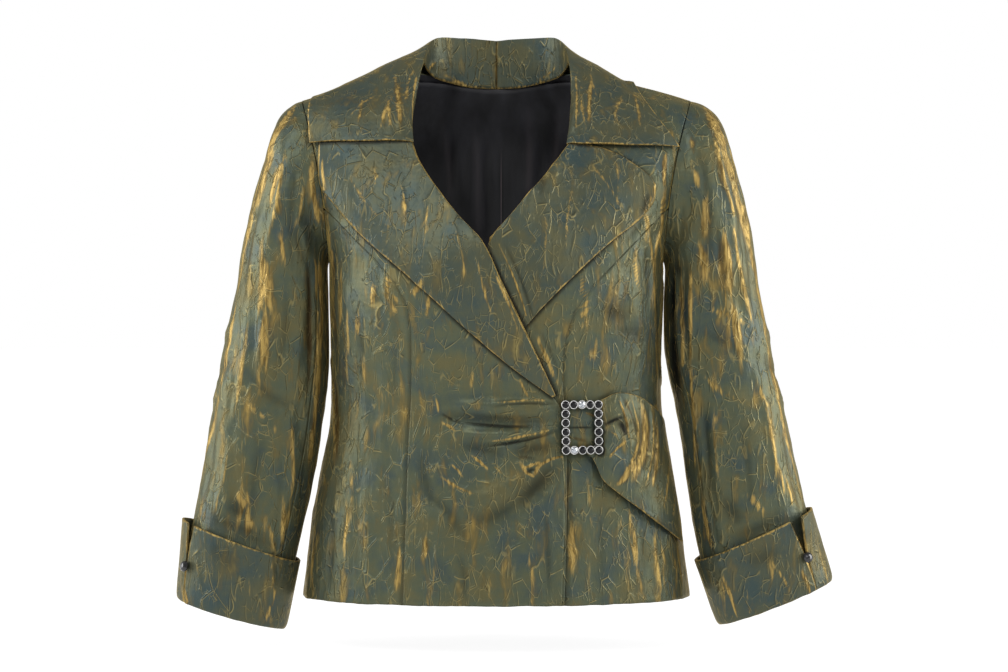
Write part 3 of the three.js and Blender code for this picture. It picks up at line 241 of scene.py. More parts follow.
@dataclass(frozen=True)
class ShotTaffeta:
    """Crinkled shot taffeta: teal warp and gold weft, crushed while wet and set by heat.

    The eye sees dull grey-green ground that turns blue in hollows, where the blue is painted shade,
    thread-thin creases with a painted ivory highlight and a painted shadow on their far side, and
    gold painted as sheen where the cloth turns away or a fold stands up.
    """

    name: str = "crinkled_shot_taffeta"
    blue: str = "#3D4B4A"
    green: str = "#4D5546"
    olive: str = "#5A583F"
    gold: str = "#987F44"
    brown: str = "#5C4A26"
    # painted highlight on each crinkle's crest, then the painted shadow on its far side
    crease_highlight: str = "#9E9160"
    shadow: str = "#25241A"
    glow: str = "#AE9355"           # painted highlight of the gold weft where a fold turns to the light
    brown_sheen_and_shade: str = "#463318"           # painted brown sheen beside crests, painted shade in folds
    deep: str = "#10171A"           # the bed of a fold, where little light comes
    patch: float = 34 * MM          # across one patch of blue or olive
    blotch: tuple[float, float] = (6.5 * MM, 26 * MM)   # a gold blotch's width and height
    crinkle: tuple[float, float] = (15 * MM, 30 * MM)   # a crease cell's width and height
    fine: tuple[float, float] = (6.5 * MM, 12 * MM)     # the small creases between
    strand: tuple[float, float] = (9 * MM, 70 * MM)     # spacing and length of the upright creases
    streak: tuple[float, float] = (1.6 * MM, 13 * MM)   # the grain in a gold band
    weave: float = 5.655 * MM       # between the faint cross swells of an uneven weft
    sway: float = 45 * MM           # across one bend of the crinkles
    bend: float = 12 * MM           # how far such a bend moves them
    gate: float = 15 * MM           # across a patch where the fine creases show
    depth: float = 0.9 * MM         # of the finest relief
    metallic: float = 0.42          # the yarns' hard gloss
    roughness: float = 0.42

    def build(self) -> bpy.types.Material:
        """Builds the material.

        Returns:
            The finished material.
        """
        material, tree = new_material(self.name)
        place = add_node(tree, "TexCoord").outputs["Object"]
        sway = add_node(tree, "TexNoise", {"Vector": place, "Scale": 1 / self.sway, "Detail": 1.0})
        shift = add_node(tree, "VectorMath", {0: sway.outputs["Color"], 1: (0.5, 0.5, 0.5)},
                         operation="SUBTRACT").outputs[0]
        swayed = add_node(tree, "VectorMath", {0: shift, 1: (self.bend,) * 3, 2: place},
                          operation="MULTIPLY_ADD").outputs[0]
        patch = add_node(tree, "TexNoise", {"Vector": place, "Scale": 1 / self.patch, "Detail": 3.0,
                                            "Roughness": 0.6})
        ground = ramp(tree, patch.outputs["Fac"], [
            (0.32, srgb(self.blue)), (0.5, srgb(self.green)), (0.68, srgb(self.olive))])

        blotch = self._noise(tree, swayed, self.blotch, 3.0)
        warm = ramp(tree, blotch, [
            (0.55, (0, 0, 0, 1)), (0.66, (0.45, 0.45, 0.45, 1)), (0.78, (0.9, 0.9, 0.9, 1))])
        gold = ramp(tree, blotch, [(0.58, srgb(self.brown)), (0.76, srgb(self.gold))])
        colour = mix(tree, warm, ground, gold)

        relief = calc(tree, "MULTIPLY", blotch, 1.6)
        streaks = self._noise(tree, swayed, self.streak, 3.0)
        uneven = calc(tree, "ADD", blotch, streaks)
        # painted sheen and shade: a gold highlight where a fold turns to the light, brown beside it
        # and in deep folds
        for name, tint, share in (("brown_sheen_and_shade", self.brown_sheen_and_shade, 0.7), ("glint", self.glow, 1.3)):
            marked = written(tree, name)
            marked = self._break(tree, marked, uneven, share)
            tone = ramp(tree, streaks, [(0.36, srgb(self.brown)), (0.58, srgb(tint))])
            colour = mix(tree, marked, colour, tone)
        gate = add_node(tree, "TexNoise", {"Vector": place, "Scale": 1 / self.gate, "Detail": 2.0})
        gates = add_node(tree, "SeparateColor", {0: gate.outputs["Color"]}).outputs
        # nets of crinkles, each drawn as a painted highlight with a painted shadow beside it
        nets = ((self.crinkle, 0.020, gates[0], 0.47, 0.72),
                (self.fine, 0.036, gates[1], 0.53, 0.50))
        for cell, thick, opening, low, strength in nets:
            bright, dark, height = self._creases(tree, swayed, cell, thick)
            colour, relief = self._draw(tree, colour, relief, bright, dark, height,
                                        (opening, low), strength)
        bright, dark, height = self._strands(tree, swayed)
        colour, relief = self._draw(tree, colour, relief, bright, dark, height,
                                    (gates[2], 0.47), 0.5)
        dark = written(tree, "shade")
        colour = mix(tree, dark, colour, srgb(self.deep))

        swells = add_node(tree, "TexWave", {
            "Vector": place, "Scale": 2 * math.pi / self.weave / WAVE_TURNS, "Distortion": 2.0,
            "Detail": 1.0}, bands_direction="Z").outputs["Fac"]
        relief = calc(tree, "MULTIPLY_ADD", swells, 0.05, relief)
        bump = add_node(tree, "Bump", {"Height": relief, "Strength": 0.75,
                                       "Distance": self.depth})
        shader = add_node(tree, "BsdfPrincipled", {
            "Base Color": colour, "Normal": bump.outputs[0], "Metallic": self.metallic,
            "Roughness": self.roughness, "Specular IOR Level": 0.4,
            "Specular Tint": srgb("#DDC486"),
            "Sheen Weight": 0.5, "Sheen Roughness": 0.28, "Sheen Tint": srgb("#D6BA68")})
        add_node(tree, "OutputMaterial", {"Surface": shader.outputs[0]})
        return material

    def _break(self, tree: bpy.types.NodeTree, marked: bpy.types.NodeSocket,
               uneven: bpy.types.NodeSocket, share: float) -> bpy.types.NodeSocket:
        """Breaks a painted band up, so that it follows the crushed cloth.

        Args:
            tree: The node tree.
            marked: The band, from 0 to 1.
            uneven: The unevenness that cuts into it.
            share: How deep the cuts are.

        Returns:
            The broken band.
        """
        cut = calc(tree, "MULTIPLY_ADD", uneven, share, -1.0 * share)
        open_part = calc(tree, "GREATER_THAN", marked, 0.02)
        cut = calc(tree, "MULTIPLY", cut, open_part)
        total = calc(tree, "ADD", marked, cut)
        edge = rise(tree, total, 0.16, 0.84, 0.0, 1.0)
        return calc(tree, "MULTIPLY", edge, 0.9)

    def _noise(self, tree: bpy.types.NodeTree, place: bpy.types.NodeSocket,
               cell: tuple[float, float], detail: float) -> bpy.types.NodeSocket:
        """Gives an unevenness stretched up and down the cloth."""
        return add_node(tree, "TexNoise", {"Vector": stretch(tree, place, cell), "Scale": 0.5,
                                           "Detail": detail, "Roughness": 0.55}).outputs["Fac"]

    def _draw(self, tree: bpy.types.NodeTree, colour: bpy.types.NodeSocket,
              relief: bpy.types.NodeSocket, bright: bpy.types.NodeSocket,
              dark: bpy.types.NodeSocket, height: bpy.types.NodeSocket,
              opening: tuple[bpy.types.NodeSocket, float],
              strength: float) -> tuple[bpy.types.NodeSocket, bpy.types.NodeSocket]:
        """Paints one set of creases over the colour, as a painted highlight with a painted shadow
        on its far side, and adds them to the relief.

        Args:
            tree: The node tree.
            colour: The colour so far.
            relief: The relief so far.
            bright: Where a crease carries its painted highlight.
            dark: Where its far side carries its painted shadow.
            height: Its height.
            opening: The unevenness that breaks the creases up, and the level that opens it.
            strength: How strongly they show.

        Returns:
            The new colour and the new relief.
        """
        source, low = opening
        shown = rise(tree, source, low, low + 0.10, 0.07, 1.0)
        for lines, tint, share in ((dark, self.shadow, 0.8), (bright, self.crease_highlight, 0.78)):
            amount = calc(tree, "MULTIPLY", lines, shown)
            amount = calc(tree, "MULTIPLY", amount, strength * share)
            colour = mix(tree, amount, colour, srgb(tint))
        raised = calc(tree, "MULTIPLY", height, shown)
        relief = calc(tree, "MULTIPLY_ADD", raised, strength, relief)
        return colour, relief

    def _strands(self, tree: bpy.types.NodeTree,
                 place: bpy.types.NodeSocket) -> tuple[bpy.types.NodeSocket, ...]:
        """Draws the long upright creases, the lines where a stretched unevenness passes its mean.

        Args:
            tree: The node tree.
            place: The point on the cloth.

        Returns:
            Where a crease carries its painted highlight, where its far side carries its painted
            shadow, and its height.
        """
        made = []
        for shift in ((0.0, 0.0, 0.0), (0.9 * MM, 0.0, -0.4 * MM)):
            moved = add_node(tree, "VectorMath", {0: place, 1: shift}, operation="ADD").outputs[0]
            swell = self._noise(tree, moved, self.strand, 1.0)
            off = calc(tree, "SUBTRACT", swell, 0.5)
            far = calc(tree, "ABSOLUTE", off)
            made.append(rise(tree, far, 0.0, 0.016, 1.0, 0.0))
        soft = rise(tree, far, 0.0, 0.05, 1.0, 0.0)
        return made[0], made[1], soft

    def _creases(self, tree: bpy.types.NodeTree, place: bpy.types.NodeSocket,
                 cell: tuple[float, float], thick: float) -> tuple[bpy.types.NodeSocket, ...]:
        """Draws the net of creases between cells of one size.

        Args:
            tree: The node tree.
            place: The point on the cloth.
            cell: A cell's width and height in metres.
            thick: Half a crease's width, as a share of a cell.

        Returns:
            Where a crease carries its painted highlight, where its far side carries its painted
            shadow, and its height.
        """
        made = []
        for shift in ((0.0, 0.0, 0.0), (0.8 * MM, 0.0, -0.7 * MM)):
            moved = add_node(tree, "VectorMath", {0: place, 1: shift}, operation="ADD").outputs[0]
            scaled = stretch(tree, moved, cell)
            net = add_node(tree, "TexVoronoi", {"Vector": scaled, "Scale": 1.0},
                           feature="DISTANCE_TO_EDGE").outputs["Distance"]
            line = rise(tree, net, 0.0, thick, 1.0, 0.0)
            made.append(line)
        soft = rise(tree, net, 0.0, thick * 3, 1.0, 0.0)
        return made[0], made[1], soft


@dataclass(frozen=True)
class LiningSatin:
    """Acetate lining satin, plain dyed: near black, with a soft low gloss down its folds, painted
    as a lighter colour where they rise.
    """

    name: str = "lining_satin"
    dark: str = "#121215"
    # painted sheen where the folds rise
    light: str = "#2C2C31"
    fold_highlight: str = "#5A5053"            # painted highlight on a pleat's pressed edge and on fold crests
    # painted shade in the folds and beside the pleat
    deep: str = "#08080A"
    pleat: float = 5 * MM            # where the ease pleat down its middle is, across
    fold: tuple[float, float] = (14 * MM, 120 * MM)

    def build(self) -> bpy.types.Material:
        """Builds the material.

        Returns:
            The finished material.
        """
        material, tree = new_material(self.name)
        place = add_node(tree, "TexCoord").outputs["Object"]
        folds = add_node(tree, "TexNoise", {"Vector": stretch(tree, place, self.fold),
                                            "Scale": 0.6, "Detail": 3.0}).outputs["Fac"]
        colour = ramp(tree, folds, [(0.35, srgb(self.dark)), (0.7, srgb(self.light))])
        # painted highlights on fold crests and painted shade in fold beds
        for name, tint in (("glint", self.fold_highlight), ("shade", self.deep)):
            marked = written(tree, name)
            colour = mix(tree, marked, colour, srgb(tint))
        # the pleat down the middle: a painted highlight on its pressed edge, with painted shade
        # beside it
        across, _, up = add_node(tree, "SeparateXYZ", {0: place}).outputs
        for shift, tint, wide in ((self.pleat + 1.6 * MM, self.deep, 1.5 * MM),
                                  (self.pleat, self.fold_highlight, 0.8 * MM)):
            off = calc(tree, "SUBTRACT", across, shift)
            far = calc(tree, "ABSOLUTE", off)
            line = rise(tree, far, 0.3 * wide, wide, 0.9, 0.0)
            below = rise(tree, up, -60 * MM, -110 * MM, 0.0, 1.0)
            line = calc(tree, "MULTIPLY", line, below)
            colour = mix(tree, line, colour, srgb(tint))
        bump = add_node(tree, "Bump", {"Height": folds, "Strength": 0.5, "Distance": 2.0 * MM})
        shader = add_node(tree, "BsdfPrincipled", {
            "Base Color": colour, "Normal": bump.outputs[0], "Roughness": 0.48,
            "Specular IOR Level": 0.4, "Sheen Weight": 0.15, "Sheen Roughness": 0.4})
        add_node(tree, "OutputMaterial", {"Surface": shader.outputs[0]})
        return material


@dataclass(frozen=True)
class HardFinish:
    """A hard, glossy finish: cast and plated metal, cut glass or polished resin."""

    name: str
    colour: str
    worn: str
    metallic: float
    roughness: float
    ior: float
    grain: float                     # size of its unevenness in metres
    relief: float = 0.02 * MM
    coat: float = 0.0
    glow: float = 0.0

    def build(self) -> bpy.types.Material:
        """Builds the material.

        Returns:
            The finished material.
        """
        material, tree = new_material(self.name)
        place = add_node(tree, "TexCoord").outputs["Object"]
        uneven = add_node(tree, "TexNoise", {"Vector": place, "Scale": 1 / self.grain,
                                             "Detail": 3.0}).outputs["Fac"]
        colour = ramp(tree, uneven, [(0.35, srgb(self.colour)), (0.75, srgb(self.worn))])
        rough = add_node(tree, "MapRange", {0: uneven, 1: 0.3, 2: 0.7, 3: self.roughness * 0.8,
                                            4: self.roughness * 1.3}).outputs[0]
        bump = add_node(tree, "Bump", {"Height": uneven, "Strength": 0.4, "Distance": self.relief})
        shader = add_node(tree, "BsdfPrincipled", {
            "Base Color": colour, "Metallic": self.metallic, "Roughness": rough, "IOR": self.ior,
            "Normal": bump.outputs[0], "Coat Weight": self.coat,
            "Emission Color": (1, 1, 1, 1), "Emission Strength": self.glow})
        add_node(tree, "OutputMaterial", {"Surface": shader.outputs[0]})
        return material


# Rhodium plate over cast zinc: a bright, slightly warm white metal, smooth from tumbling.
PLATE = HardFinish("bright_plated_metal", "#F4F3F0", "#D8D6D2", 0.55, 0.16, 1.5, 0.8 * MM)
# The same metal behind the settings, coloured dark grey as painted shade between the rims, with no
# clear reflection.
BASE = HardFinish("shaded_plated_metal", "#4C4B49", "#343331", 0.9, 0.38, 1.5, 0.6 * MM)
# Jet glass, pressed and fire-polished: black, with sharp small lights on its facets.
JET = HardFinish("jet_glass", "#050506", "#0B0B0D", 0.0, 0.07, 1.38, 1.5 * MM)
# Foil-backed crystal: its foil throws light back, so it reads as pale bright facets.
CRYSTAL = HardFinish("foiled_crystal", "#D5D8DC", "#6E747C", 0.85, 0.10, 1.5, 0.9 * MM)
# Polished polyester resin: black and glossy, with a soft haze of handling.
RESIN = HardFinish("black_resin", "#0B0B0D", "#151518", 0.0, 0.14, 1.52, 2.0 * MM, coat=0.3)
# Pale painted studio floor: matt, and even but for a faint roller mottle. It glows a little, as
# an evenly lit sweep does.
FLOOR = HardFinish("pale_painted_floor", "#7A7A7A", "#767676", 0.0, 0.9, 1.4, 60 * MM, glow=0.925)


# Creases ---------------------------------------------------------------------------------------


class Seen(Enum):
    """The side that a crease is drawn from, as the way a ray runs to meet the cloth."""

    FRONT = (0.0, 1.0, 0.0)
    BACK = (0.0, -1.0, 0.0)
    RIGHT = (1.0, 0.0, 0.0)
    LEFT = (-1.0, 0.0, 0.0)


@dataclass(frozen=True)
class Crease:
    """One soft ridge or trough, drawn from a side of the garment.

    Its ends are given across and up in mm. Its bow is how far its middle swings across that line,
    its width is the half width of its swell, and a negative height makes it a trough.
    """

    seen: Seen
    start: tuple[float, float]
    end: tuple[float, float]
    bow: float
    wide: float
    high: float
    glint: float = 0.0               # how strong the painted gold highlight on its crest is
    shade: float = 0.0               # how dark its bed looks
    brown_sheen_and_shade: float = 0.0                # how strong the painted brown sheen and shade along it are

    def points(self, count: int = 12) -> list[tuple[Vector, Vector]]:
        """Gives the rays that lay the crease on the cloth.

        Args:
            count: How many rays.

        Returns:
            Each ray's start and direction.
        """
        way = Vector(self.seen.value)
        (u0, v0), (u1, v1) = self.start, self.end
        span = math.hypot(u1 - u0, v1 - v0) or 1.0
        across = (-(v1 - v0) / span, (u1 - u0) / span)
        rays = []
        for i in range(count):
            t = i / (count - 1)
            swing = self.bow * math.sin(math.pi * t)
            u = (u0 + (u1 - u0) * t + across[0] * swing) * MM
            v = (v0 + (v1 - v0) * t + across[1] * swing) * MM
            at = Vector((u, 0, v)) if way.y else Vector((0, u, v))
            rays.append((at - way * 2.0, way))
        return rays


def rows(seen: Seen, table: list[tuple[float, ...]]) -> list[Crease]:
    """Reads a table of creases.

    Args:
        seen: The side that they are drawn from.
        table: Rows of start across, start up, end across, end up, bow, width and height, and then
            glint, shade and brown_sheen_and_shade as far as they aren't 0: the painted gold
            highlight, the painted shade and the painted brown sheen and shade.

    Returns:
        The creases.
    """
    return [Crease(seen, (r[0], r[1]), (r[2], r[3]), r[4], r[5], r[6], *r[7:]) for r in table]


FRONT_CREASES = rows(Seen.FRONT, [
    # pleats that the buckle draws in, and the loop of cloth under it
    (-50, -335, 56, -336, 2, 5.0, 2.6),
    (-54, -343, 52, -349, -3, 5.5, -3.2, 0.0, 0.6),
    (-55, -342, -32, -352, -1.5, 1.6, -1.4, 0.0, 0.9),
    (-37, -351, 42, -355, -2, 1.5, -2.0, 0.0, 1.15),
    (-44, -362, 52, -360, -2, 4.5, 3.0),
    (-4, -336, 58, -333, 1.5, 1.4, -1.0, 0.0, 0.7),
    (-2, -333, 58, -330, 1.5, 1.6, 1.0, 0.8),
    (-14, -371, 60, -357, -2, 1.5, 1.4, 0.9),
    (-16, -376, 60, -361, -2, 1.7, -2.2, 0.0, 1.0),
    (-34, -372, 10, -380, -2, 7.0, -2.4, 0.0, 0.5),
    (14, -382, 60, -374, 1, 6.5, -2.6, 0.0, 0.6),
    (-24, -384, -8, -398, 0.5, 1.8, 0.9, 1.3),
    (68, -385, 44, -394, -2, 1.7, 1.4, 1.4),
    (47, -391, 38, -405, -2, 1.7, 1.4, 1.4),
    (39, -405, 25, -391, 3, 1.6, 1.3, 1.4),
    (26, -398, 45, -391, 1, 1.5, 1.0, 1.3),
    (30, -401, 39, -398, 1, 2.4, -1.6, 0.0, 0.9),
    (20, -386, 40, -388, 1, 2.6, -1.0, 0.0, 0.5, 0.3),
    (58, -392, 18, -434, 2, 9.0, -3.6, 0.0, 0.75),
    (26, -426, -22, -452, 2, 8.0, -2.0, 0.0, 0.5),
    (72, -398, 50, -432, 2, 6.0, 1.8),
    (60, -452, 6, -486, 3, 9.0, 1.4),
    (18, -408, -26, -430, 2, 7.0, 1.3),
    (-59, -326, -57, -343, 0.5, 1.4, 0.8, 1.0),
    (-53, -352, -40, -361, 1, 1.7, 1.2, 1.2),
    (-45, -392, -32, -407, 1, 1.3, 0.7, 1.0),
    (-56, -404, -18, -423, -2, 3.0, 1.2, 0.9),
    (-70, -380, -56, -440, -6, 6.0, -1.6, 0.0, 0.4),
    (-74, -420, -30, -470, 7, 7.0, -1.6, 0.0, 0.35),
    (-69, -462, -69, -486, 0, 3.4, 0.6, 1.0, 0.0, 0.2),
    (-23, -300, -24, -318, 0, 3.4, 0.6, 0.85),
    (22, -306, 36, -332, -1, 2.8, 0.9, 1.0),
    (-4, -393, 6, -403, 0.8, 1.2, 0.5, 0.9),
    # the cloth that shows inside the buckle
    (69, -357, 100, -357, 0.5, 1.3, -1.6, 0.0, 1.0),
    (69, -352, 100, -351, 0.5, 3.0, 1.0),
    (88, -342, 98, -346, 0.5, 2.4, 0.3, 0.8, 0.0, 0.4),
    (70, -366, 92, -371, 0.5, 2.2, -0.4, 0.0, 0.2, 0.5),
    # along the front edge and the roll of the lapel
    (3, -176, 34, -262, 3, 1.8, 0.9, 1.20),
    (9, -176, 40, -262, 3, 1.6, -0.7, 0.0, 0.6),
    (-6, -196, 22, -262, 2, 1.2, 0.7, 0.90),
    (38, -262, 62, -318, 1, 1.4, 0.8, 1.05),
    (44, -262, 64, -308, 1, 1.3, -0.6, 0.0, 0.5),
    # down the right front
    (-170, -150, -166, -262, 4, 4.0, 1.8, 1.30),
    (-163, -170, -160, -300, -3, 4.5, -1.6, 0.0, 0.55),
    (-172, -268, -164, -398, 3, 4.0, 1.6, 1.30),
    (-150, -210, -152, -330, 3, 4.0, 1.2, 0.67),
    (-140, -240, -136, -312, 2, 3.0, -1.0, 0.0, 0.4),
    (-128, -250, -130, -372, -3, 4.5, 1.2, 0.60),
    (-112, -300, -116, -392, 2, 3.0, 1.0, 0.60),
    (-100, -236, -104, -330, 3, 3.5, -1.0, 0.0, 0.3),
    (-146, -392, -150, -500, 3, 4.0, 1.3, 0.75),
    (-130, -420, -124, -520, -3, 4.0, 1.1, 0.75),
    (-166, -430, -170, -520, 2, 4.5, -1.3, 0.0, 0.45),
    (-108, -410, -104, -505, 3, 3.5, -0.9, 0.0, 0.35),
    (-182, -440, -186, -526, -2, 3.0, 1.2, 1.30),
    (-60, -472, -66, -528, 2, 3.5, 1.0, 0.60),
    (-36, -480, -30, -528, 2, 3.5, -0.9, 0.0, 0.3),
    (0, -470, -6, -526, -2, 3.2, 1.0, 0.60),
    (30, -472, 36, -527, 2, 3.4, 0.9, 0.60),
    (48, -440, 52, -520, 1, 3.0, -0.8, 0.0, 0.4),
    # down the left front
    (150, -150, 158, -250, 4, 4.0, 1.6, 0.98),
    (164, -160, 170, -262, 3, 4.0, 1.7, 1.30),
    (158, -190, 163, -300, 2, 4.0, -1.5, 0.0, 0.6),
    (140, -170, 146, -240, -3, 3.4, 1.1, 0.90),
    (128, -190, 124, -262, 3, 3.5, -1.0, 0.0, 0.4),
    (166, -270, 172, -330, -2, 3.5, 1.3, 1.20),
    (104, -240, 132, -252, 3, 9.0, -1.4, 0.0, 0.7),
    (120, -262, 150, -272, 3, 9.0, -1.3, 0.0, 0.6),
    (84, -196, 88, -262, 2, 2.4, 1.0, 1.05),
    (92, -400, 96, -520, 2, 3.0, 1.0, 0.75),
    (108, -430, 104, -528, -2, 3.5, -0.9, 0.0, 0.35),
    (124, -440, 130, -526, 2, 3.5, 1.1, 0.90),
    (146, -452, 142, -527, 2, 3.4, -1.0, 0.0, 0.35),
    (160, -462, 166, -527, -2, 3.0, 1.2, 1.05),
    (178, -480, 182, -527, 2, 3.0, 1.0, 1.20),
    (74, -420, 78, -500, 2, 3.0, -0.8, 0.0, 0.4),
    # the lapels
    (-150, -100, -104, -160, -4, 3.0, 0.8, 0.67),
    (-120, -92, -128, -128, 3, 2.6, 0.7, 0.60),
    (-96, -110, -90, -170, 3, 2.8, 0.8, 0.75),
    (-64, -120, -70, -186, -2, 2.6, 0.7, 0.67),
    (-44, -150, -30, -214, 3, 2.6, 0.8, 0.75),
    (-18, -190, -2, -250, -2, 2.4, 0.7, 0.67),
    (96, -96, 130, -150, 3, 2.8, 0.8, 0.67),
    (120, -90, 118, -140, 3, 2.6, 0.7, 0.60),
    (76, -120, 70, -190, -3, 2.6, 0.8, 0.75),
    (50, -140, 44, -214, 2, 2.4, 0.7, 0.67),
    # the collar
    (-81, 4, -85, -60, -1.5, 1.8, 0.6, 1.2),
    (-71, 8, -62, 20, 1, 2.2, 0.5, 1.3),
    (-54, 6, -26, -6, 0, 2.0, 0.5, 1.2),
    (-104, 4, -97, -62, 1.5, 3.4, 0.9, 1.0, 0.0, 0.3),
    (-112, -22, -106, -62, 1, 2.6, 0.7, 0.9),
    (-136, -22, -142, -58, 1, 2.6, 0.7, 0.8, 0.0, 0.2),
    (98, 2, 94, -60, -1.5, 3.0, 0.9, 0.95, 0.0, 0.3),
    (81, 4, 80, -60, 1.5, 1.8, 0.6, 1.1),
    (62, 14, 46, 2, 1, 2.0, 0.5, 1.1),
    (140, -16, 146, -58, 1, 2.6, 0.7, 0.8, 0.0, 0.2),
    (-150, -46, -120, -20, 3, 3.0, 0.8, 0.67),
    (-118, -62, -104, -20, 2, 3.0, 0.8, 0.75),
    (-92, -30, -84, 10, 2, 2.8, 0.8, 0.75),
    (92, -62, 86, -10, 2, 3.0, 0.8, 0.75),
    (120, -56, 130, -20, 3, 3.0, 0.8, 0.67),
    (104, -26, 96, 8, 2, 2.8, 0.7, 0.67),
    # the right sleeve
    (-214, -70, -236, -190, 4, 5.0, 1.8, 0.83),
    (-228, -60, -250, -150, 3, 5.0, 1.8, 1.27),
    (-200, -90, -206, -200, -4, 4.5, -1.6, 0.0, 0.4),
    (-190, -180, -196, -300, 4, 4.5, -1.8, 0.0, 0.6),
    (-184, -170, -186, -330, 2, 3.0, 1.4, 1.30),
    (-226, -210, -240, -330, -4, 5.0, 1.6, 0.60),
    (-212, -220, -220, -300, 3, 4.0, -1.2, 0.0, 0.3),
    (-252, -240, -268, -360, 3, 4.5, 1.4, 0.90),
    (-250, -300, -200, -340, -6, 5.0, -1.6, 0.0, 0.35),
    (-262, -330, -214, -372, 5, 4.5, 1.4, 0.67),
    (-206, -350, -214, -470, 4, 4.5, 1.5, 0.75),
    (-196, -360, -202, -480, 2, 3.5, -1.2, 0.0, 0.5),
    (-236, -370, -246, -462, -3, 4.5, -1.3, 0.0, 0.3),
    (-270, -370, -286, -450, 3, 4.0, 1.4, 0.83),
    (-256, -390, -264, -470, 3, 4.0, 1.0, 0.60),
    # the left sleeve
    (222, -60, 244, -150, -3, 5.0, 1.8, 1.30),
    (232, -76, 252, -200, 4, 4.5, -1.2, 0.0, 0.3),
    (206, -80, 214, -190, 4, 5.0, -1.6, 0.0, 0.45),
    (240, -150, 262, -262, -3, 5.0, 1.7, 1.30),
    (192, -190, 198, -300, -4, 4.0, -1.6, 0.0, 0.6),
    (186, -180, 190, -320, 2, 3.0, 1.3, 1.05),
    (222, -190, 236, -280, 4, 4.5, 1.4, 0.67),
    (206, -262, 250, -290, 5, 5.0, -1.5, 0.0, 0.35),
    (214, -240, 262, -262, 5, 4.0, 1.3, 0.90),
    (204, -300, 256, -336, -5, 5.0, 1.5, 0.67),
    (262, -300, 284, -420, 4, 4.5, 1.5, 0.90),
    (220, -330, 232, -440, -4, 4.5, 1.4, 0.60),
    (208, -340, 214, -440, 3, 4.0, -1.3, 0.0, 0.45),
    (244, -350, 256, -440, 3, 4.0, -1.2, 0.0, 0.35),
    (276, -380, 292, -436, 3, 3.6, 1.2, 0.90),
    # painted gold sheen where the right sleeve turns to the light, painted brown shade by the
    # armhole
    (-206, -28, -232, -84, -3, 9.1, 0.8, 1.36),
    (-226, -72, -244, -138, -1, 10.4, 0.8, 1.47),
    (-218, -90, -228, -134, -1, 6.5, 0.6, 1.06),
    (-244, -130, -266, -232, -2, 6.5, 0.6, 1.30),
    (-262, -220, -282, -330, -1, 5.9, 0.5, 1.12),
    (-280, -320, -304, -430, -1, 5.9, 0.5, 1.00),
    (-234, -84, -258, -190, -2, 3.0, -0.8, 0.0, 0.0, 0.8),
    (-222, -120, -222, -150, 2, 5.2, 1.2, 1.06),
    (-238, -160, -240, -250, 3, 7.2, 0.9, 1.24),
    (-232, -190, -228, -240, -1, 6.5, 0.8, 1.36),
    (-232, -240, -234, -300, -1, 7.8, 0.9, 1.18),
    (-220, -160, -212, -200, 1, 3.9, 1.0, 0.94),
    (-196, -118, -204, -160, 2, 3.4, 0.9, 0.83),
    (-204, -150, -190, -196, -2, 5.0, -1.4, 0.0, 0.5),
    (-192, -130, -184, -188, -2, 7.0, -1.2, 0.0, 0.6),
    (-180, -192, -180, -262, 0.5, 6.0, 1.5, 1.65),
    (-180, -246, -182, -330, -0.5, 6.8, 1.5, 1.65),
    (-183, -318, -190, -400, 0.5, 6.0, 1.5, 1.42),
    (-189, -190, -191, -330, 1, 3.0, -1.4, 0.0, 0.5, 0.9),
    (-173, -170, -174, -330, 0.5, 2.6, -0.4, 0.0, 0.95, 0.5),
    (-184, -266, -176, -270, 0.5, 1.2, -0.5, 0.0, 0.7),
    (-187, -92, -180, -152, -1, 2.6, 1.0, 1.42),
    (-176, -80, -170, -150, -1, 3.4, 0.8, 1.06),
    (-176, -140, -170, -178, 1, 5.2, 0.8, 1.06),
    # down the right front
    (-170, -160, -166, -240, 2, 5.2, 1.0, 1.30),
    (-166, -236, -166, -300, -1, 4.4, 0.9, 1.18),
    (-164, -300, -162, -400, 1, 5.0, -0.6, 0.0, 0.15, 0.9),
    (-156, -200, -158, -262, 2, 4.7, 0.8, 1.06),
    (-122, -214, -124, -236, 1, 4.4, 0.7, 1.36),
    (-108, -204, -109, -230, 1, 4.2, 0.6, 1.30),
    (-101, -222, -101, -244, 1, 3.9, 0.6, 1.24),
    (-72, -208, -84, -226, 2, 6.5, 0.6, 1.12),
    (-66, -222, -70, -250, 1, 3.9, 0.5, 1.06),
    (-110, -208, -106, -236, 0.5, 4.0, 0.4, 0.0, 0.0, 0.7),
    (-138, -230, -140, -270, 1, 4.7, 0.7, 1.12),
    (-150, -430, -152, -490, 1, 4.7, 0.6, 1.06),
    (-186, -400, -192, -500, 1, 4.7, 0.6, 1.12),
    (-96, -470, -98, -520, 1, 3.9, 0.5, 1.06),
    # the left sleeve
    (214, -28, 233, -84, 3, 12.3, 0.7, 1.70),
    (230, -76, 246, -124, 1, 11.7, 0.8, 1.70),
    (243, -116, 258, -176, 1.5, 10.4, 0.8, 1.65),
    (257, -168, 267, -216, 1, 9.1, 0.7, 1.42),
    (265, -208, 276, -276, 1, 7.8, 0.6, 1.36),
    (275, -268, 292, -360, 1, 6.5, 0.5, 1.18),
    (290, -350, 312, -436, 1, 6.5, 0.5, 1.06),
    (222, -84, 232, -128, 1, 3.0, -0.9, 0.0, 0.35, 0.6),
    (230, -158, 236, -232, 1.5, 6.5, 1.3, 1.59),
    (236, -226, 248, -296, 1, 6.5, 1.2, 1.42),
    (222, -150, 230, -232, 1, 3.5, -1.3, 0.0, 0.35, 0.5),
    (214, -122, 208, -172, -1, 7.8, 1.2, 1.12),
    (205, -168, 212, -214, 1, 5.9, 0.9, 1.06),
    (198, -92, 204, -118, 1, 3.9, 0.8, 0.83),
    (196, -60, 200, -84, 1, 4.0, 0.5, 0.5, 0.0, 0.4),
    (183, -184, 179, -262, 0, 9.5, -2.8, 0.0, 1.25, 0.3),
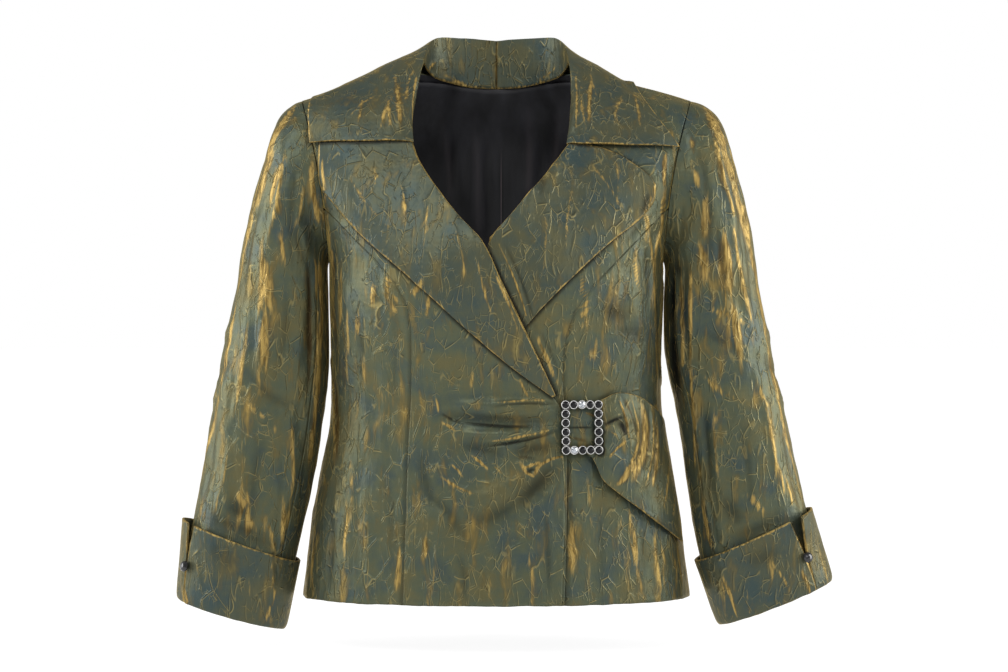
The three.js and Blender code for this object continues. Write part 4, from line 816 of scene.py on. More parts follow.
    (180, -240, 185, -356, 0, 9.5, -2.2, 0.0, 1.2, 0.3),
    (196, -186, 197, -300, 1, 3.1, 1.2, 1.30),
    (197, -290, 202, -400, 1, 3.1, 1.2, 1.12),
    # down the left front
    (172, -80, 170, -118, -1, 3.2, 1.2, 1.2, 0.0, 0.6),
    (171, -112, 168, -164, -1, 2.8, 1.4, 1.4, 0.0, 0.4),
    (168, -158, 158, -186, -1, 3.0, 1.4, 1.4),
    (153, -122, 146, -146, 1, 5.0, -1.6, 0.0, 0.8),
    (148, -144, 128, -172, 1, 4.0, -1.0, 0.0, 0.5),
    (160, -108, 152, -140, 1, 1.6, 1.2, 1.2),
    (166, -156, 158, -214, -2, 4.4, 1.2, 1.47),
    (158, -206, 160, -262, 1, 5.2, 0.9, 1.42),
    (161, -250, 166, -330, -1, 5.2, 0.9, 1.30),
    (148, -130, 150, -176, 1, 3.9, 0.7, 0.94),
    (150, -176, 154, -230, 1, 3.0, -1.0, 0.0, 0.5, 0.4),
    (96, -262, 98, -300, 1, 5.2, 0.6, 0.94),
    (76, -452, 76, -500, 1, 3.9, 0.5, 1.36),
    (118, -470, 119, -520, 1, 3.9, 0.5, 1.24),
    (132, -436, 140, -500, 1, 4.4, 0.7, 1.42),
    (140, -492, 144, -527, 1, 4.4, 0.6, 1.30),
    (166, -470, 170, -526, 1, 3.9, 0.5, 1.06),
    (184, -470, 190, -526, 1, 3.9, 0.6, 1.06),
    # folds of the back's lining, seen through the neck
    (-60, -30, -50, -130, 4, 7.0, 1.6, 0.24),
    (-46, -26, -36, -160, -3, 5.0, -1.2, 0.0, 0.8),
    (-24, -36, -20, -180, 2, 7.0, 1.4, 0.2),
    (-10, -50, -8, -180, 1, 4.0, -1.0, 0.0, 0.6),
    (34, -26, 30, -160, 3, 7.0, 1.6, 0.24),
    (50, -30, 44, -130, 2, 5.0, -1.2, 0.0, 0.8),
    (66, -26, 58, -110, 2, 6.0, 1.4, 0.2),
    # hollows above the cuffs, and short crossed folds in them
    (-296, -446, -222, -478, 2, 7.0, -1.6, 0.0, 0.55),
    (-268, -430, -256, -452, 1, 8.0, -1.4, 0.0, 0.7),
    (-264, -420, -240, -466, 1, 1.8, 1.2, 1.2),
    (-246, -420, -262, -462, -1, 1.8, 1.2, 1.0),
    (-252, -440, -250, -470, 1, 4.5, 1.0, 1.2, 0.0, 0.3),
    (-214, -430, -218, -486, 1, 2.4, 1.2, 1.2),
    (-232, -450, -222, -484, 1, 1.6, 1.0, 1.1),
    (232, -478, 296, -446, 2, 7.0, -1.6, 0.0, 0.55),
    (226, -430, 246, -456, 2, 8.0, -1.4, 0.0, 0.6),
    (250, -424, 272, -446, 1, 1.8, 1.1, 1.1),
    (206, -430, 218, -486, 1, 2.4, 1.2, 1.2),
    (290, -404, 300, -440, 1, 3.4, 1.1, 1.3),
    (236, -436, 256, -428, 2, 1.8, 1.1, 1.1),
    # the cuffs
    (-290, -476, -262, -500, 2, 9.0, 0.4, 0.0, 0.3),
    (-316, -520, -312, -542, 0.5, 2.6, 0.5, 1.3),
    (-222, -520, -234, -556, 1, 2.0, 0.7, 1.0),
    (252, -496, 286, -484, 2, 8.0, 0.4, 0.0, 0.35),
    (228, -508, 244, -552, 1, 2.6, 0.6, 1.3),
    (278, -494, 296, -524, 1, 1.8, 0.8, 1.0),
    (306, -500, 318, -530, 1, 3.4, 0.8, 1.2, 0.0, 0.2),
    (-310, -470, -296, -540, 3, 3.2, 1.0, 0.3),
    (-286, -476, -280, -550, -2, 3.2, 0.9, 0.3),
    (-252, -486, -250, -556, 3, 3.2, 0.9, 0.35),
    (-226, -494, -228, -556, 2, 3.0, 1.0, 0.6),
    (246, -490, 254, -548, 2, 3.2, 1.0, 0.4),
    (270, -482, 282, -540, 3, 3.2, 0.9, 0.3),
    (300, -470, 312, -526, 2, 3.2, 0.9, 0.35),
    (226, -500, 232, -552, 2, 3.0, 0.9, 0.45),
    # the sash beyond the buckle
    (104, -340, 124, -330, 2, 3.0, 0.8),
    (147, -334, 133, -414, 9, 11.0, 0.5, 1.15, 0.0, 0.25),
    (162, -350, 156, -420, 3, 6.0, 0.4, 1.1, 0.0, 0.25),
    (107, -355, 129, -346, 1, 2.0, -2.4, 0.0, 1.2),
    (122, -350, 130, -366, 1, 4.0, -2.6, 0.0, 1.2),
    (112, -350, 124, -345, 1, 3.0, 1.4),
    (114, -361, 123, -368, 1, 1.5, 1.0, 1.3),
    (121, -326, 133, -372, 2, 1.8, 1.4, 1.5),
    (133, -369, 112, -387, -2, 1.8, 1.2, 1.5),
    (127, -328, 140, -368, 3, 1.4, -1.0, 0.0, 0.7, 0.6),
    (136, -331, 120, -413, 13, 2.4, 1.4, 1.6),
    (142, -332, 127, -414, 10, 1.3, -1.1, 0.0, 0.7, 0.6),
    (140, -388, 119, -415, 2, 4.6, 0.9, 1.7),
    (148, -332, 132, -410, 7, 2.0, 1.3, 1.6),
    (153, -333, 140, -416, 6, 1.3, -1.1, 0.0, 0.7, 0.6),
    (156, -335, 146, -424, 6, 1.6, 1.2, 1.4),
    (160, -340, 150, -426, 5, 1.2, -1.0, 0.0, 0.6, 0.6),
    (162, -345, 154, -424, 3, 2.2, 1.2, 1.6),
    (168, -352, 161, -430, 2, 1.3, -0.9, 0.0, 0.6, 0.5),
    (158, -335, 170, -356, 2, 1.6, 1.0, 1.2),
    (176, -392, 168, -442, 1, 2.8, 0.8, 1.5),
    (182, -424, 176, -456, 1, 1.6, 0.6, 1.2),
    (114, -417, 184, -466, -1, 2.6, 0.9, 0.0, 0.35),
    (112, -404, 122, -378, 3, 7.0, 0.8),
])

BACK_CREASES = rows(Seen.BACK, [
    (-150, -90, -158, -230, 4, 4.5, 1.6, 0.5),
    (-138, -120, -142, -260, -3, 4.5, -1.3, 0.0, 0.35),
    (-120, -60, -112, -170, 4, 4.5, 1.2, 0.3),
    (-96, -140, -104, -300, 4, 5.0, 1.3, 0.35),
    (-70, -80, -64, -210, -3, 4.5, -1.1, 0.0, 0.3),
    (-48, -180, -58, -330, 3, 4.5, 1.2, 0.3),
    (-24, -110, -26, -260, 2, 4.0, 1.0, 0.3),
    (-160, -262, -120, -300, 5, 6.0, -1.6, 0.0, 0.35),
    (-140, -296, -70, -322, 5, 6.0, 1.5, 0.25),
    (-130, -330, -40, -338, -4, 6.5, -1.4, 0.0, 0.3),
    (-150, -350, -156, -500, 4, 4.5, 1.5, 0.5),
    (-118, -372, -112, -520, -4, 4.5, 1.2, 0.3),
    (-88, -380, -94, -500, 3, 4.5, -1.2, 0.0, 0.3),
    (-60, -400, -54, -526, 3, 4.5, 1.1, 0.35),
    (-30, -372, -34, -500, 2, 4.0, -0.9, 0.0, 0.3),
    (150, -96, 160, -240, -4, 4.5, 1.6, 0.5),
    (130, -110, 136, -240, 3, 4.5, -1.3, 0.0, 0.35),
    (110, -70, 104, -190, -4, 4.5, 1.2, 0.3),
    (84, -130, 96, -290, -4, 5.0, 1.3, 0.35),
    (60, -90, 54, -220, 3, 4.5, -1.1, 0.0, 0.3),
    (40, -190, 46, -320, -3, 4.5, 1.1, 0.3),
    (20, -130, 22, -280, 2, 4.0, 1.0, 0.3),
    (162, -270, 112, -306, -5, 6.0, -1.6, 0.0, 0.35),
    (148, -306, 60, -330, -5, 6.0, 1.5, 0.25),
    (136, -340, 34, -346, 4, 6.5, -1.4, 0.0, 0.3),
    (152, -360, 160, -510, -4, 4.5, 1.5, 0.5),
    (120, -366, 112, -516, 4, 4.5, 1.2, 0.3),
    (86, -390, 94, -512, -3, 4.5, -1.2, 0.0, 0.3),
    (58, -396, 50, -522, -3, 4.5, 1.1, 0.35),
    (28, -380, 34, -506, 2, 4.0, -0.9, 0.0, 0.3),
    (-210, -80, -234, -200, 4, 5.0, 1.7, 0.4),
    (-196, -120, -204, -260, 3, 4.5, -1.5, 0.0, 0.4),
    (-220, -220, -246, -330, 4, 5.0, 1.5, 0.4),
    (-196, -300, -256, -330, 6, 5.5, -1.8, 0.0, 0.35),
    (-200, -330, -262, -366, -5, 5.0, 1.6, 0.3),
    (-216, -370, -236, -470, 4, 4.5, -1.2, 0.0, 0.35),
    (-246, -380, -272, -462, 3, 4.5, 1.4, 0.4),
    (212, -76, 238, -196, -4, 5.0, 1.7, 0.5),
    (196, -130, 206, -250, -3, 4.5, -1.5, 0.0, 0.4),
    (224, -214, 252, -316, -4, 5.0, 1.5, 0.4),
    (200, -290, 262, -316, -6, 5.5, -1.8, 0.0, 0.35),
    (206, -326, 272, -352, 5, 5.0, 1.6, 0.3),
    (222, -362, 240, -440, -4, 4.5, -1.2, 0.0, 0.35),
    (256, -370, 286, -440, -3, 4.5, 1.4, 0.4),
    (-120, -20, -70, 4, 4, 4.0, 0.9, 0.3),
    (-60, -40, -40, 10, 3, 4.0, 0.9, 0.3),
    (50, -44, 30, 10, -3, 4.0, 0.9, 0.3),
    (124, -26, 76, 6, -4, 4.0, 0.9, 0.3),
    (-280, -480, -290, -546, 3, 3.2, 0.9, 0.3),
    (-240, -490, -244, -552, 2, 3.2, 0.9, 0.3),
    (262, -484, 272, -546, 3, 3.2, 0.9, 0.3),
    (300, -476, 314, -528, 2, 3.2, 0.9, 0.3),
])

OUTER_CREASES = [crease for seen in (Seen.RIGHT, Seen.LEFT) for crease in rows(seen, [
    (-20, -60, -30, -190, 4, 5.0, 1.8, 0.6),
    (6, -70, 2, -210, -4, 5.0, 1.6, 0.5),
    (26, -90, 20, -230, 3, 4.5, -1.4, 0.0, 0.35),
    (-34, -120, -40, -240, 3, 4.5, -1.3, 0.0, 0.35),
    (-44, -250, 20, -292, 6, 5.5, 1.7, 0.35),
    (-50, -286, 26, -318, -5, 5.5, -1.9, 0.0, 0.4),
    (-46, -318, 14, -352, 5, 5.0, 1.6, 0.35),
    (-10, -340, -14, -440, 4, 4.5, 1.4, 0.5),
    (-36, -350, -42, -440, -3, 4.5, -1.2, 0.0, 0.3),
    (14, -350, 8, -436, 3, 4.5, 1.2, 0.4),
    (-44, -480, -46, -530, 2, 3.2, 0.9, 0.3),
    (2, -476, 0, -528, 2, 3.2, 0.9, 0.3),
])]


@dataclass
class LaidCrease:
    """A crease once it lies on one piece: its points, and how far along it each one is."""

    crease: Crease
    points: np.ndarray
    along: np.ndarray


class CreasePlan:
    """Lays every crease on the piece of cloth that its rays meet first."""

    def __init__(self, nodes: list[str]) -> None:
        """Reads the solids' faces.

        Args:
            nodes: The names of the cloth nodes.
        """
        points: list[Vector] = []
        faces: list[tuple[int, ...]] = []
        self.owners: list[str] = []
        for name in nodes:
            mesh = frame["nodes"][name].data
            first = len(points)
            points += [v.co.copy() for v in mesh.vertices]
            faces += [tuple(first + i for i in p.vertices) for p in mesh.polygons]
            self.owners += [name] * len(mesh.polygons)
        self.tree = BVHTree.FromPolygons(points, faces)

    def lay(self, creases: list[Crease]) -> dict[str, list[LaidCrease]]:
        """Lays creases on the cloth.

        Args:
            creases: The creases to lay.

        Returns:
            The laid creases of each node.
        """
        laid: dict[str, list[LaidCrease]] = {}
        for crease in creases:
            runs: dict[str, list[tuple[float, Vector]]] = {}
            rays = crease.points()
            for i, (at, way) in enumerate(rays):
                hit, _, index, _ = self.tree.ray_cast(at, way)
                if hit is not None:
                    runs.setdefault(self.owners[index], []).append((i / (len(rays) - 1), hit))
            for name, run in runs.items():
                if len(run) > 1:
                    laid.setdefault(name, []).append(LaidCrease(
                        crease, np.array([p for _, p in run]), np.array([t for t, _ in run])))
        return laid


# Cloth pieces ----------------------------------------------------------------------------------


@dataclass
class ClothPiece:
    """One cut piece of cloth, and how it is made from its solid."""

    node: str
    flat: tuple[float, float]        # the cut's width and length in metres
    area: float                      # the cut's flat area in square metres
    held: str
    levels: int
    lined: bool                      # its inner side shows the lining
    wave: float = 0.7                # height in mm of the soft unevenness all over
    raised_only: bool = False        # it lies on another piece, so it only swells outwards
    rests_on: tuple[str, ...] = ()
    sewn: tuple[str, ...] = ()       # nodes that it is sewn to, with painted shade along the seam
    covers: tuple[str, ...] = ()     # nodes whose edges lie over it, with painted shade under their edges
    lean: float = 0.0                # mm that a sleeve fills out inwards, or less than 0 outwards


class Wall(Enum):
    """The parts of a closed cloth wall, in the order of its material slots."""

    OUTER = 0
    INNER = 1
    EDGE = 2


class ClothShell:
    """Builds a cloth piece: the solid's form, finer, with its creases."""

    MERGE = 0.01 * MM                # points nearer than this are one
    FLATTEST = math.radians(35)      # triangles that bend less join to a quad
    SQUAREST = math.radians(60)      # and those whose corners are less than this off square
    FADE = 6.0 * MM                  # creases die out this near a seam
    CREST = 0.5                      # share of a crease's width that its painted gold highlight takes
    STEP = 0.75                      # a crest's least half width, in distances between points
    END = 0.02                       # share of a crease's length at each end that stays faint
    TAPER = 0.6                      # how bluntly a crease ends
    SINK = 0.1 * MM                  # how far a piece that lies on another may sink
    HALO = 0.55                      # how strong the painted brown sheen is beside a painted gold crest
    RIM = 0.8                        # how strong the painted highlight on the turned edge of a doubled piece is
    SEAM = 0.145 * MM                # each edge fills its half of the seam gap
    SWING = 0.28                     # how far out a sleeve runs for each unit down
    SHOULDER = (-60 * MM, 0.2)       # above this height a panel faces up by this share of it
    GAP_Z = -265 * MM                # the middle of the gap between sleeve and body
    GAP_REACH = 52 * MM              # how far up and down from there they fill out
    LEANS = (0.2, 0.9)               # how squarely a wall faces the gap: it fills out between these
    SWELLS = ((55, 22, 0, 1.0), (130, 60, 7, 0.6))   # swells a metre across and up, shift, share
    UNDER_EDGE = (0.9, 1.7 * MM, 2.2 * MM)   # painted shade under an edge: its darkness, its reach, and the air there
    AT_SEAM = (0.5, 0.7 * MM, 0.0)           # the same for the painted shade along a seam

    def __init__(self, piece: ClothPiece, outward: Vector | None = None) -> None:
        """Keeps what the piece is made from.

        Args:
            piece: The piece's sizes.
            outward: A way that its outer wall faces, or None for away from the body's middle.
        """
        self.piece = piece
        self.outward = outward

    def build(self, laid: list[LaidCrease], looks: list[bpy.types.Material]) -> bpy.types.Object:
        """Makes the piece.

        Args:
            laid: The creases that lie on it.
            looks: Materials for its outer wall, inner wall and edge.

        Returns:
            The finished object.
        """
        source = frame["nodes"][self.piece.node]
        mesh = source.data.copy()
        mesh.materials.clear()
        thing = bpy.data.objects.new("cloth_" + self.piece.node, mesh)
        bpy.context.scene.collection.objects.link(thing)
        self._prepare(mesh)
        for look in looks:
            mesh.materials.append(look)
        activate(thing)
        subdivide = thing.modifiers.new("finer", "SUBSURF")
        subdivide.levels = subdivide.render_levels = self.piece.levels
        subdivide.boundary_smooth = "PRESERVE_CORNERS"
        bpy.ops.object.modifier_apply(modifier=subdivide.name)
        self._crease(thing.data, laid)
        bpy.ops.object.shade_smooth_by_angle(angle=SHARP)
        return thing

    def _prepare(self, mesh: bpy.types.Mesh) -> None:
        """Merges the solid's loose triangles to quads, and marks its walls and its sharp edges."""
        work = bmesh.new()
        work.from_mesh(mesh)
        bmesh.ops.remove_doubles(work, verts=work.verts, dist=self.MERGE)
        bmesh.ops.join_triangles(work, faces=work.faces, angle_face_threshold=self.FLATTEST,
                                 angle_shape_threshold=self.SQUAREST)
        layers = work.edges.layers.float
        crease = layers.get("crease_edge") or layers.new("crease_edge")
        sharp = set()
        for edge in work.edges:
            if len(edge.link_faces) == 2 and edge.calc_face_angle(0.0) > SHARP:
                edge[crease] = 1.0
                sharp.add(edge)
        for face in work.faces:
            face.material_index = Wall.EDGE.value
        regions = self._regions(work, sharp)
        regions.sort(key=lambda faces: -sum(f.calc_area() for f in faces))
        facing = [self._facing(faces) for faces in regions[:2]]
        outer = 0 if facing[0] >= facing[-1] else 1
        for number, faces in enumerate(regions[:2]):
            for face in faces:
                face.material_index = (Wall.OUTER if number == outer else Wall.INNER).value
        work.to_mesh(mesh)
        work.free()

    def _regions(self, work: bmesh.types.BMesh, sharp: set) -> list[list[bmesh.types.BMFace]]:
        """Groups the faces that no sharp edge parts.

        Args:
            work: The mesh.
            sharp: Its sharp edges.

        Returns:
            The groups of faces.
        """
        seen: set = set()
        groups = []
        for face in work.faces:
            if face in seen:
                continue
            seen.add(face)
            group, todo = [], [face]
            while todo:
                here = todo.pop()
                group.append(here)
                for edge in here.edges:
                    if edge in sharp:
                        continue
                    for other in edge.link_faces:
                        if other not in seen:
                            seen.add(other)
                            todo.append(other)
            groups.append(group)
        return groups

    def _facing(self, faces: list[bmesh.types.BMFace]) -> float:
        """Says how much a group of faces looks outwards.

        Args:
            faces: The faces.

        Returns:
            The area-weighted share that faces outwards.
        """
        total = 0.0
        for face in faces:
            at = face.calc_center_median()
            if self.outward is not None:
                way = self.outward
            elif self.piece.node.startswith(("sleeve", "cuff")):
                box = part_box(self.piece.node)
                axis = (Vector(box[0]) + Vector(box[1])) / 2
                lean = (at.z - axis.z) * (-self.SWING if axis.x > 0 else self.SWING)
                way = Vector((at.x - axis.x - lean, at.y - axis.y, 0))
            else:
                level, share = self.SHOULDER
                way = Vector((at.x, at.y, share * (at.z > level) * abs(at.z)))
            total += face.calc_area() * face.normal.dot(way.normalized())
        return total

    def _crease(self, mesh: bpy.types.Mesh, laid: list[LaidCrease]) -> None:
        """Moves both walls together along the outer one's normals, and writes painted highlights on
        crests and painted shade in beds.
        """
        count = len(mesh.vertices)
        places = np.empty(count * 3)
        mesh.vertices.foreach_get("co", places)
        places = places.reshape(-1, 3)
        normals = np.empty(count * 3)
        mesh.vertices.foreach_get("normal", normals)
        normals = normals.reshape(-1, 3)
        outer = np.zeros(count, bool)
        for face in mesh.polygons:
            if face.material_index == Wall.OUTER.value:
                outer[list(face.vertices)] = True
        chosen = np.flatnonzero(outer)
        at = places[chosen]
        height = self._unevenness(at)
        glint = np.zeros(len(chosen))
        brown_sheen_and_shade = np.zeros(len(chosen))
        calm, shade = self._calm(at)
        spacing = self.STEP * self._spacing(mesh)
        for one in laid:
            far, along = self._nearest(at, one)
            taper = np.sin(np.pi * np.clip(along, self.END, 1 - self.END)) ** self.TAPER
            near = np.exp(-(far / (one.crease.wide * MM)) ** 2)
            height += one.crease.high * MM * taper * near
            # painted gold highlight along the crest, painted shade in the bed, painted brown sheen
            # and shade beside
            core = np.exp(-(far / max(one.crease.wide * self.CREST * MM, spacing)) ** 2)
            glint = np.maximum(glint, one.crease.glint * taper * core)
            shade = np.maximum(shade, one.crease.shade * taper * near)
            brown = one.crease.brown_sheen_and_shade + self.HALO * one.crease.glint
            brown_sheen_and_shade = np.maximum(brown_sheen_and_shade, brown * taper * near)
        if self.piece.raised_only:
            height = np.maximum(height, -self.SINK)
        height *= calm
        moves = np.zeros_like(places)
        moves[chosen] = height[:, None] * normals[chosen]
        moves[chosen, 0] += self._lean(at, normals[chosen])
        marks = np.zeros((count, 3))
        marks[chosen] = np.stack([glint, shade, brown_sheen_and_shade], axis=1)
        # a painted highlight along the turned edge of a doubled piece
        if self.piece.raised_only:
            for face in mesh.polygons:
                if face.material_index == Wall.EDGE.value:
                    rim = list(face.vertices)
                    marks[rim, 0] = np.maximum(marks[rim, 0], self.RIM)
        tree = KDTree(len(chosen))
        for i, p in enumerate(at):
            tree.insert(p, i)
        tree.balance()
        for i in np.flatnonzero(~outer):
            nearest = chosen[tree.find(places[i])[1]]
            moves[i] = moves[nearest]
            marks[i] = np.maximum(marks[i], marks[nearest])
        moves += self.SEAM * self._edge_ways(mesh)
        mesh.vertices.foreach_set("co", (places + moves).ravel())
        for column, name in enumerate(("glint", "shade", "brown_sheen_and_shade")):
            layer = mesh.attributes.new(name, "FLOAT", "POINT")
            layer.data.foreach_set("value", marks[:, column].astype(np.float32))
        mesh.update()

    def _spacing(self, mesh: bpy.types.Mesh) -> float:
        """Gives the usual distance between the outer wall's points."""
        sizes = [f.area for f in mesh.polygons if f.material_index == Wall.OUTER.value]
        return math.sqrt(sum(sizes) / len(sizes))

    def _edge_ways(self, mesh: bpy.types.Mesh) -> np.ndarray:
        """Gives the way out of the piece at its edge, and nothing elsewhere."""
        ways = np.zeros((len(mesh.vertices), 3))
        for face in mesh.polygons:
            if face.material_index == Wall.EDGE.value:
                ways[list(face.vertices)] += np.array(face.normal) * face.area
        sizes = np.linalg.norm(ways, axis=1, keepdims=True)
        return ways / np.maximum(sizes, 1e-12)

    def _lean(self, at: np.ndarray, normals: np.ndarray) -> np.ndarray:
        """Lets a sleeve and the body fill out towards each other, just clear, below the armhole.

        Args:
            at: The points.
            normals: The outward ways there.

        Returns:
            How far each point moves across.
        """
        out = math.copysign(1.0, at[:, 0].mean())
        way = -out if self.piece.lean > 0 else out
        facing = smoothstep(normals[:, 0] * way, *self.LEANS)
        level = np.exp(-((at[:, 2] - self.GAP_Z) / self.GAP_REACH) ** 4)
        return way * abs(self.piece.lean) * MM * facing * level

    def _unevenness(self, at: np.ndarray) -> np.ndarray:
        """Gives the soft unevenness that crushed cloth has all over.

        Args:
            at: The points.

        Returns:
            A height for each.
        """
        wave = self.piece.wave * MM
        found = np.empty(len(at))
        for i, (x, y, z) in enumerate(at):
            found[i] = sum(share * noise.noise(Vector((x * wide + shift, y * wide, z * high)))
                           for wide, high, shift, share in self.SWELLS)
        return found * wave

    def _nearest(self, at: np.ndarray, one: LaidCrease) -> tuple[np.ndarray, np.ndarray]:
        """Measures how far points are from a crease, and how far along it they are.

        Args:
            at: The points.
            one: The laid crease.

        Returns:
            Distances in metres, and places along it from 0 to 1.
        """
        best = np.full(len(at), 1e9)
        along = np.zeros(len(at))
        for a, b, ta, tb in zip(one.points, one.points[1:], one.along, one.along[1:]):
            way = b - a
            size = max(float(way @ way), 1e-12)
            t = np.clip((at - a) @ way / size, 0, 1)
            far = np.linalg.norm(at - (a + t[:, None] * way), axis=1)
            closer = far < best
            best = np.where(closer, far, best)
            along = np.where(closer, ta + t * (tb - ta), along)
        return best, along

    def _calm(self, at: np.ndarray) -> tuple[np.ndarray, np.ndarray]:
        """Fades the creases out where the piece is sewn or covered, and paints shade under an edge
        and along a seam.

        Args:
            at: The points.

        Returns:
            A factor for each point, 0 at the seam, and how dark the painted shade on each one is.
        """
        near = np.ones(len(at))
        shade = np.zeros(len(at))
        for name in self.piece.sewn + self.piece.covers:
            mesh = frame["nodes"][name].data
            tree = BVHTree.FromPolygons([v.co.copy() for v in mesh.vertices],
                                        [tuple(p.vertices) for p in mesh.polygons])
            covers = name in self.piece.covers
            dark, reach, lift = self.UNDER_EDGE if covers else self.AT_SEAM
            for i, p in enumerate(at):
                far = tree.find_nearest(Vector(p), self.FADE)[3]
                if far is not None:
                    near[i] = min(near[i], far / self.FADE)
                    shade[i] = max(shade[i], dark * math.exp(-(max(far - lift, 0) / reach) ** 2))
        return smoothstep(near, 0.05, 1.0), shade


@dataclass
class ClothWork:
    """All the cloth of the blazer."""

    pieces: list[ClothPiece] = field(default_factory=lambda: [
        *[ClothPiece(f"back_{s}", (0.235, 0.585), 0.115, "hung", 3, True, 1.0,
                     sewn=(f"back_{o}", f"side_front_{s}", f"front_{s}", f"sleeve_upper_{s}",
                           f"sleeve_under_{s}"),
                     covers=(f"collar_{s}",), lean=-0.9)
          for s, o in (("right", "left"), ("left", "right"))],
        ClothPiece("front_right", (0.245, 0.57), 0.072, "hung", 3, True, 0.7,
                   sewn=("side_front_right", "sleeve_upper_right", "back_right"),
                   covers=("lapel_right", "collar_right", "sash", "buckle")),
        ClothPiece("front_left", (0.245, 0.57), 0.066, "hung", 3, True, 0.7,
                   sewn=("side_front_left", "sleeve_upper_left", "back_left"),
                   covers=("lapel_left", "collar_left", "sash", "lapel_right")),
        *[ClothPiece(f"side_front_{s}", (0.165, 0.405), area, "hung", 3, True, 1.0,
                     sewn=(f"front_{s}", f"sleeve_upper_{s}", f"sleeve_under_{s}", f"back_{s}"),
                     covers=(f"lapel_{s}", "sash"), lean=-0.9)
          for s, area in (("right", 0.054), ("left", 0.059))],
        *[ClothPiece(f"collar_{s}", (0.175, 0.27), area, "folded", 3, False, 0.4, True,
                     (f"back_{s}", f"front_{s}"), (f"collar_{o}",))
          for s, o, area in (("right", "left", 0.033), ("left", "right", 0.0275))],
        ClothPiece("lapel_right", (0.125, 0.36), 0.0245, "folded", 3, False, 0.4, True,
                   ("front_right",), (), ("collar_right",)),
        ClothPiece("lapel_left", (0.125, 0.36), 0.0185, "folded", 3, False, 0.4, True,
                   ("front_left",), (), ("collar_left", "lapel_right", "front_right")),
        *[ClothPiece(f"sleeve_upper_{s}", (0.265, 0.52), 0.115, "hung", 3, True, 1.1,
                     sewn=(f"sleeve_under_{s}", f"back_{s}", f"front_{s}", f"side_front_{s}"),
                     covers=(f"cuff_{s}", f"collar_{s}"), lean=lean)
          for s, lean in (("right", 1.2), ("left", 1.6))],
        *[ClothPiece(f"sleeve_under_{s}", (0.105, 0.37), 0.031, "hung", 3, True, 0.9,
                     sewn=(f"sleeve_upper_{s}", f"back_{s}", f"side_front_{s}"),
                     covers=(f"cuff_{s}",), lean=lean)
          for s, lean in (("right", 1.2), ("left", 1.6))],
        *[ClothPiece(f"cuff_{s}", (0.30, 0.12), 0.031, "folded", 3, False, 0.5, True,
                     (f"sleeve_upper_{s}",), (f"sleeve_upper_{s}",))
          for s in ("right", "left")],
        ClothPiece("lining_back", (0.30, 0.54), 0.160, "hung", 3, False, 0.5),
        ClothPiece("sash", (0.105, 0.17), 0.0155, "gathered", 3, False, 0.3, True,
                   ("side_front_left", "buckle"), (), ("buckle",)),
    ])

    def build(self, taffeta: bpy.types.Material, turned: bpy.types.Material,
              lining: bpy.types.Material) -> None:
        """Makes every cloth piece.

        Args:
            taffeta: The shell fabric.
            turned: The same fabric in darker, duller colours, on the pieces folded double.
            lining: The lining.
        """
        plan = CreasePlan([p.node for p in self.pieces])
        laid = plan.lay(FRONT_CREASES + BACK_CREASES + OUTER_CREASES)
        for piece in self.pieces:
            faces_front = piece.node.startswith(("lapel", "sash", "lining"))
            outward = Vector((0, -1, 0.2)) if faces_front else None
            own = lining if piece.node == "lining_back" else taffeta
            if piece.node.startswith(("collar", "lapel", "cuff")):
                own = turned
            looks = [own, lining if piece.lined else own, own]
            thing = ClothShell(piece, outward).build(laid.get(piece.node, []), looks)
            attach(thing, ROOT)
            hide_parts(piece.node)
            LOG.info("%s: %d faces, %d creases", thing.name, len(thing.data.polygons),
                     len(laid.get(piece.node, [])))


# Hard parts ------------------------------------------------------------------------------------


def middle_of(node: str) -> tuple[Vector, Vector]:
    """Gives a node's middle and its size."""
    low, high = (Vector(c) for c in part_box(node))
    return (low + high) / 2, high - low


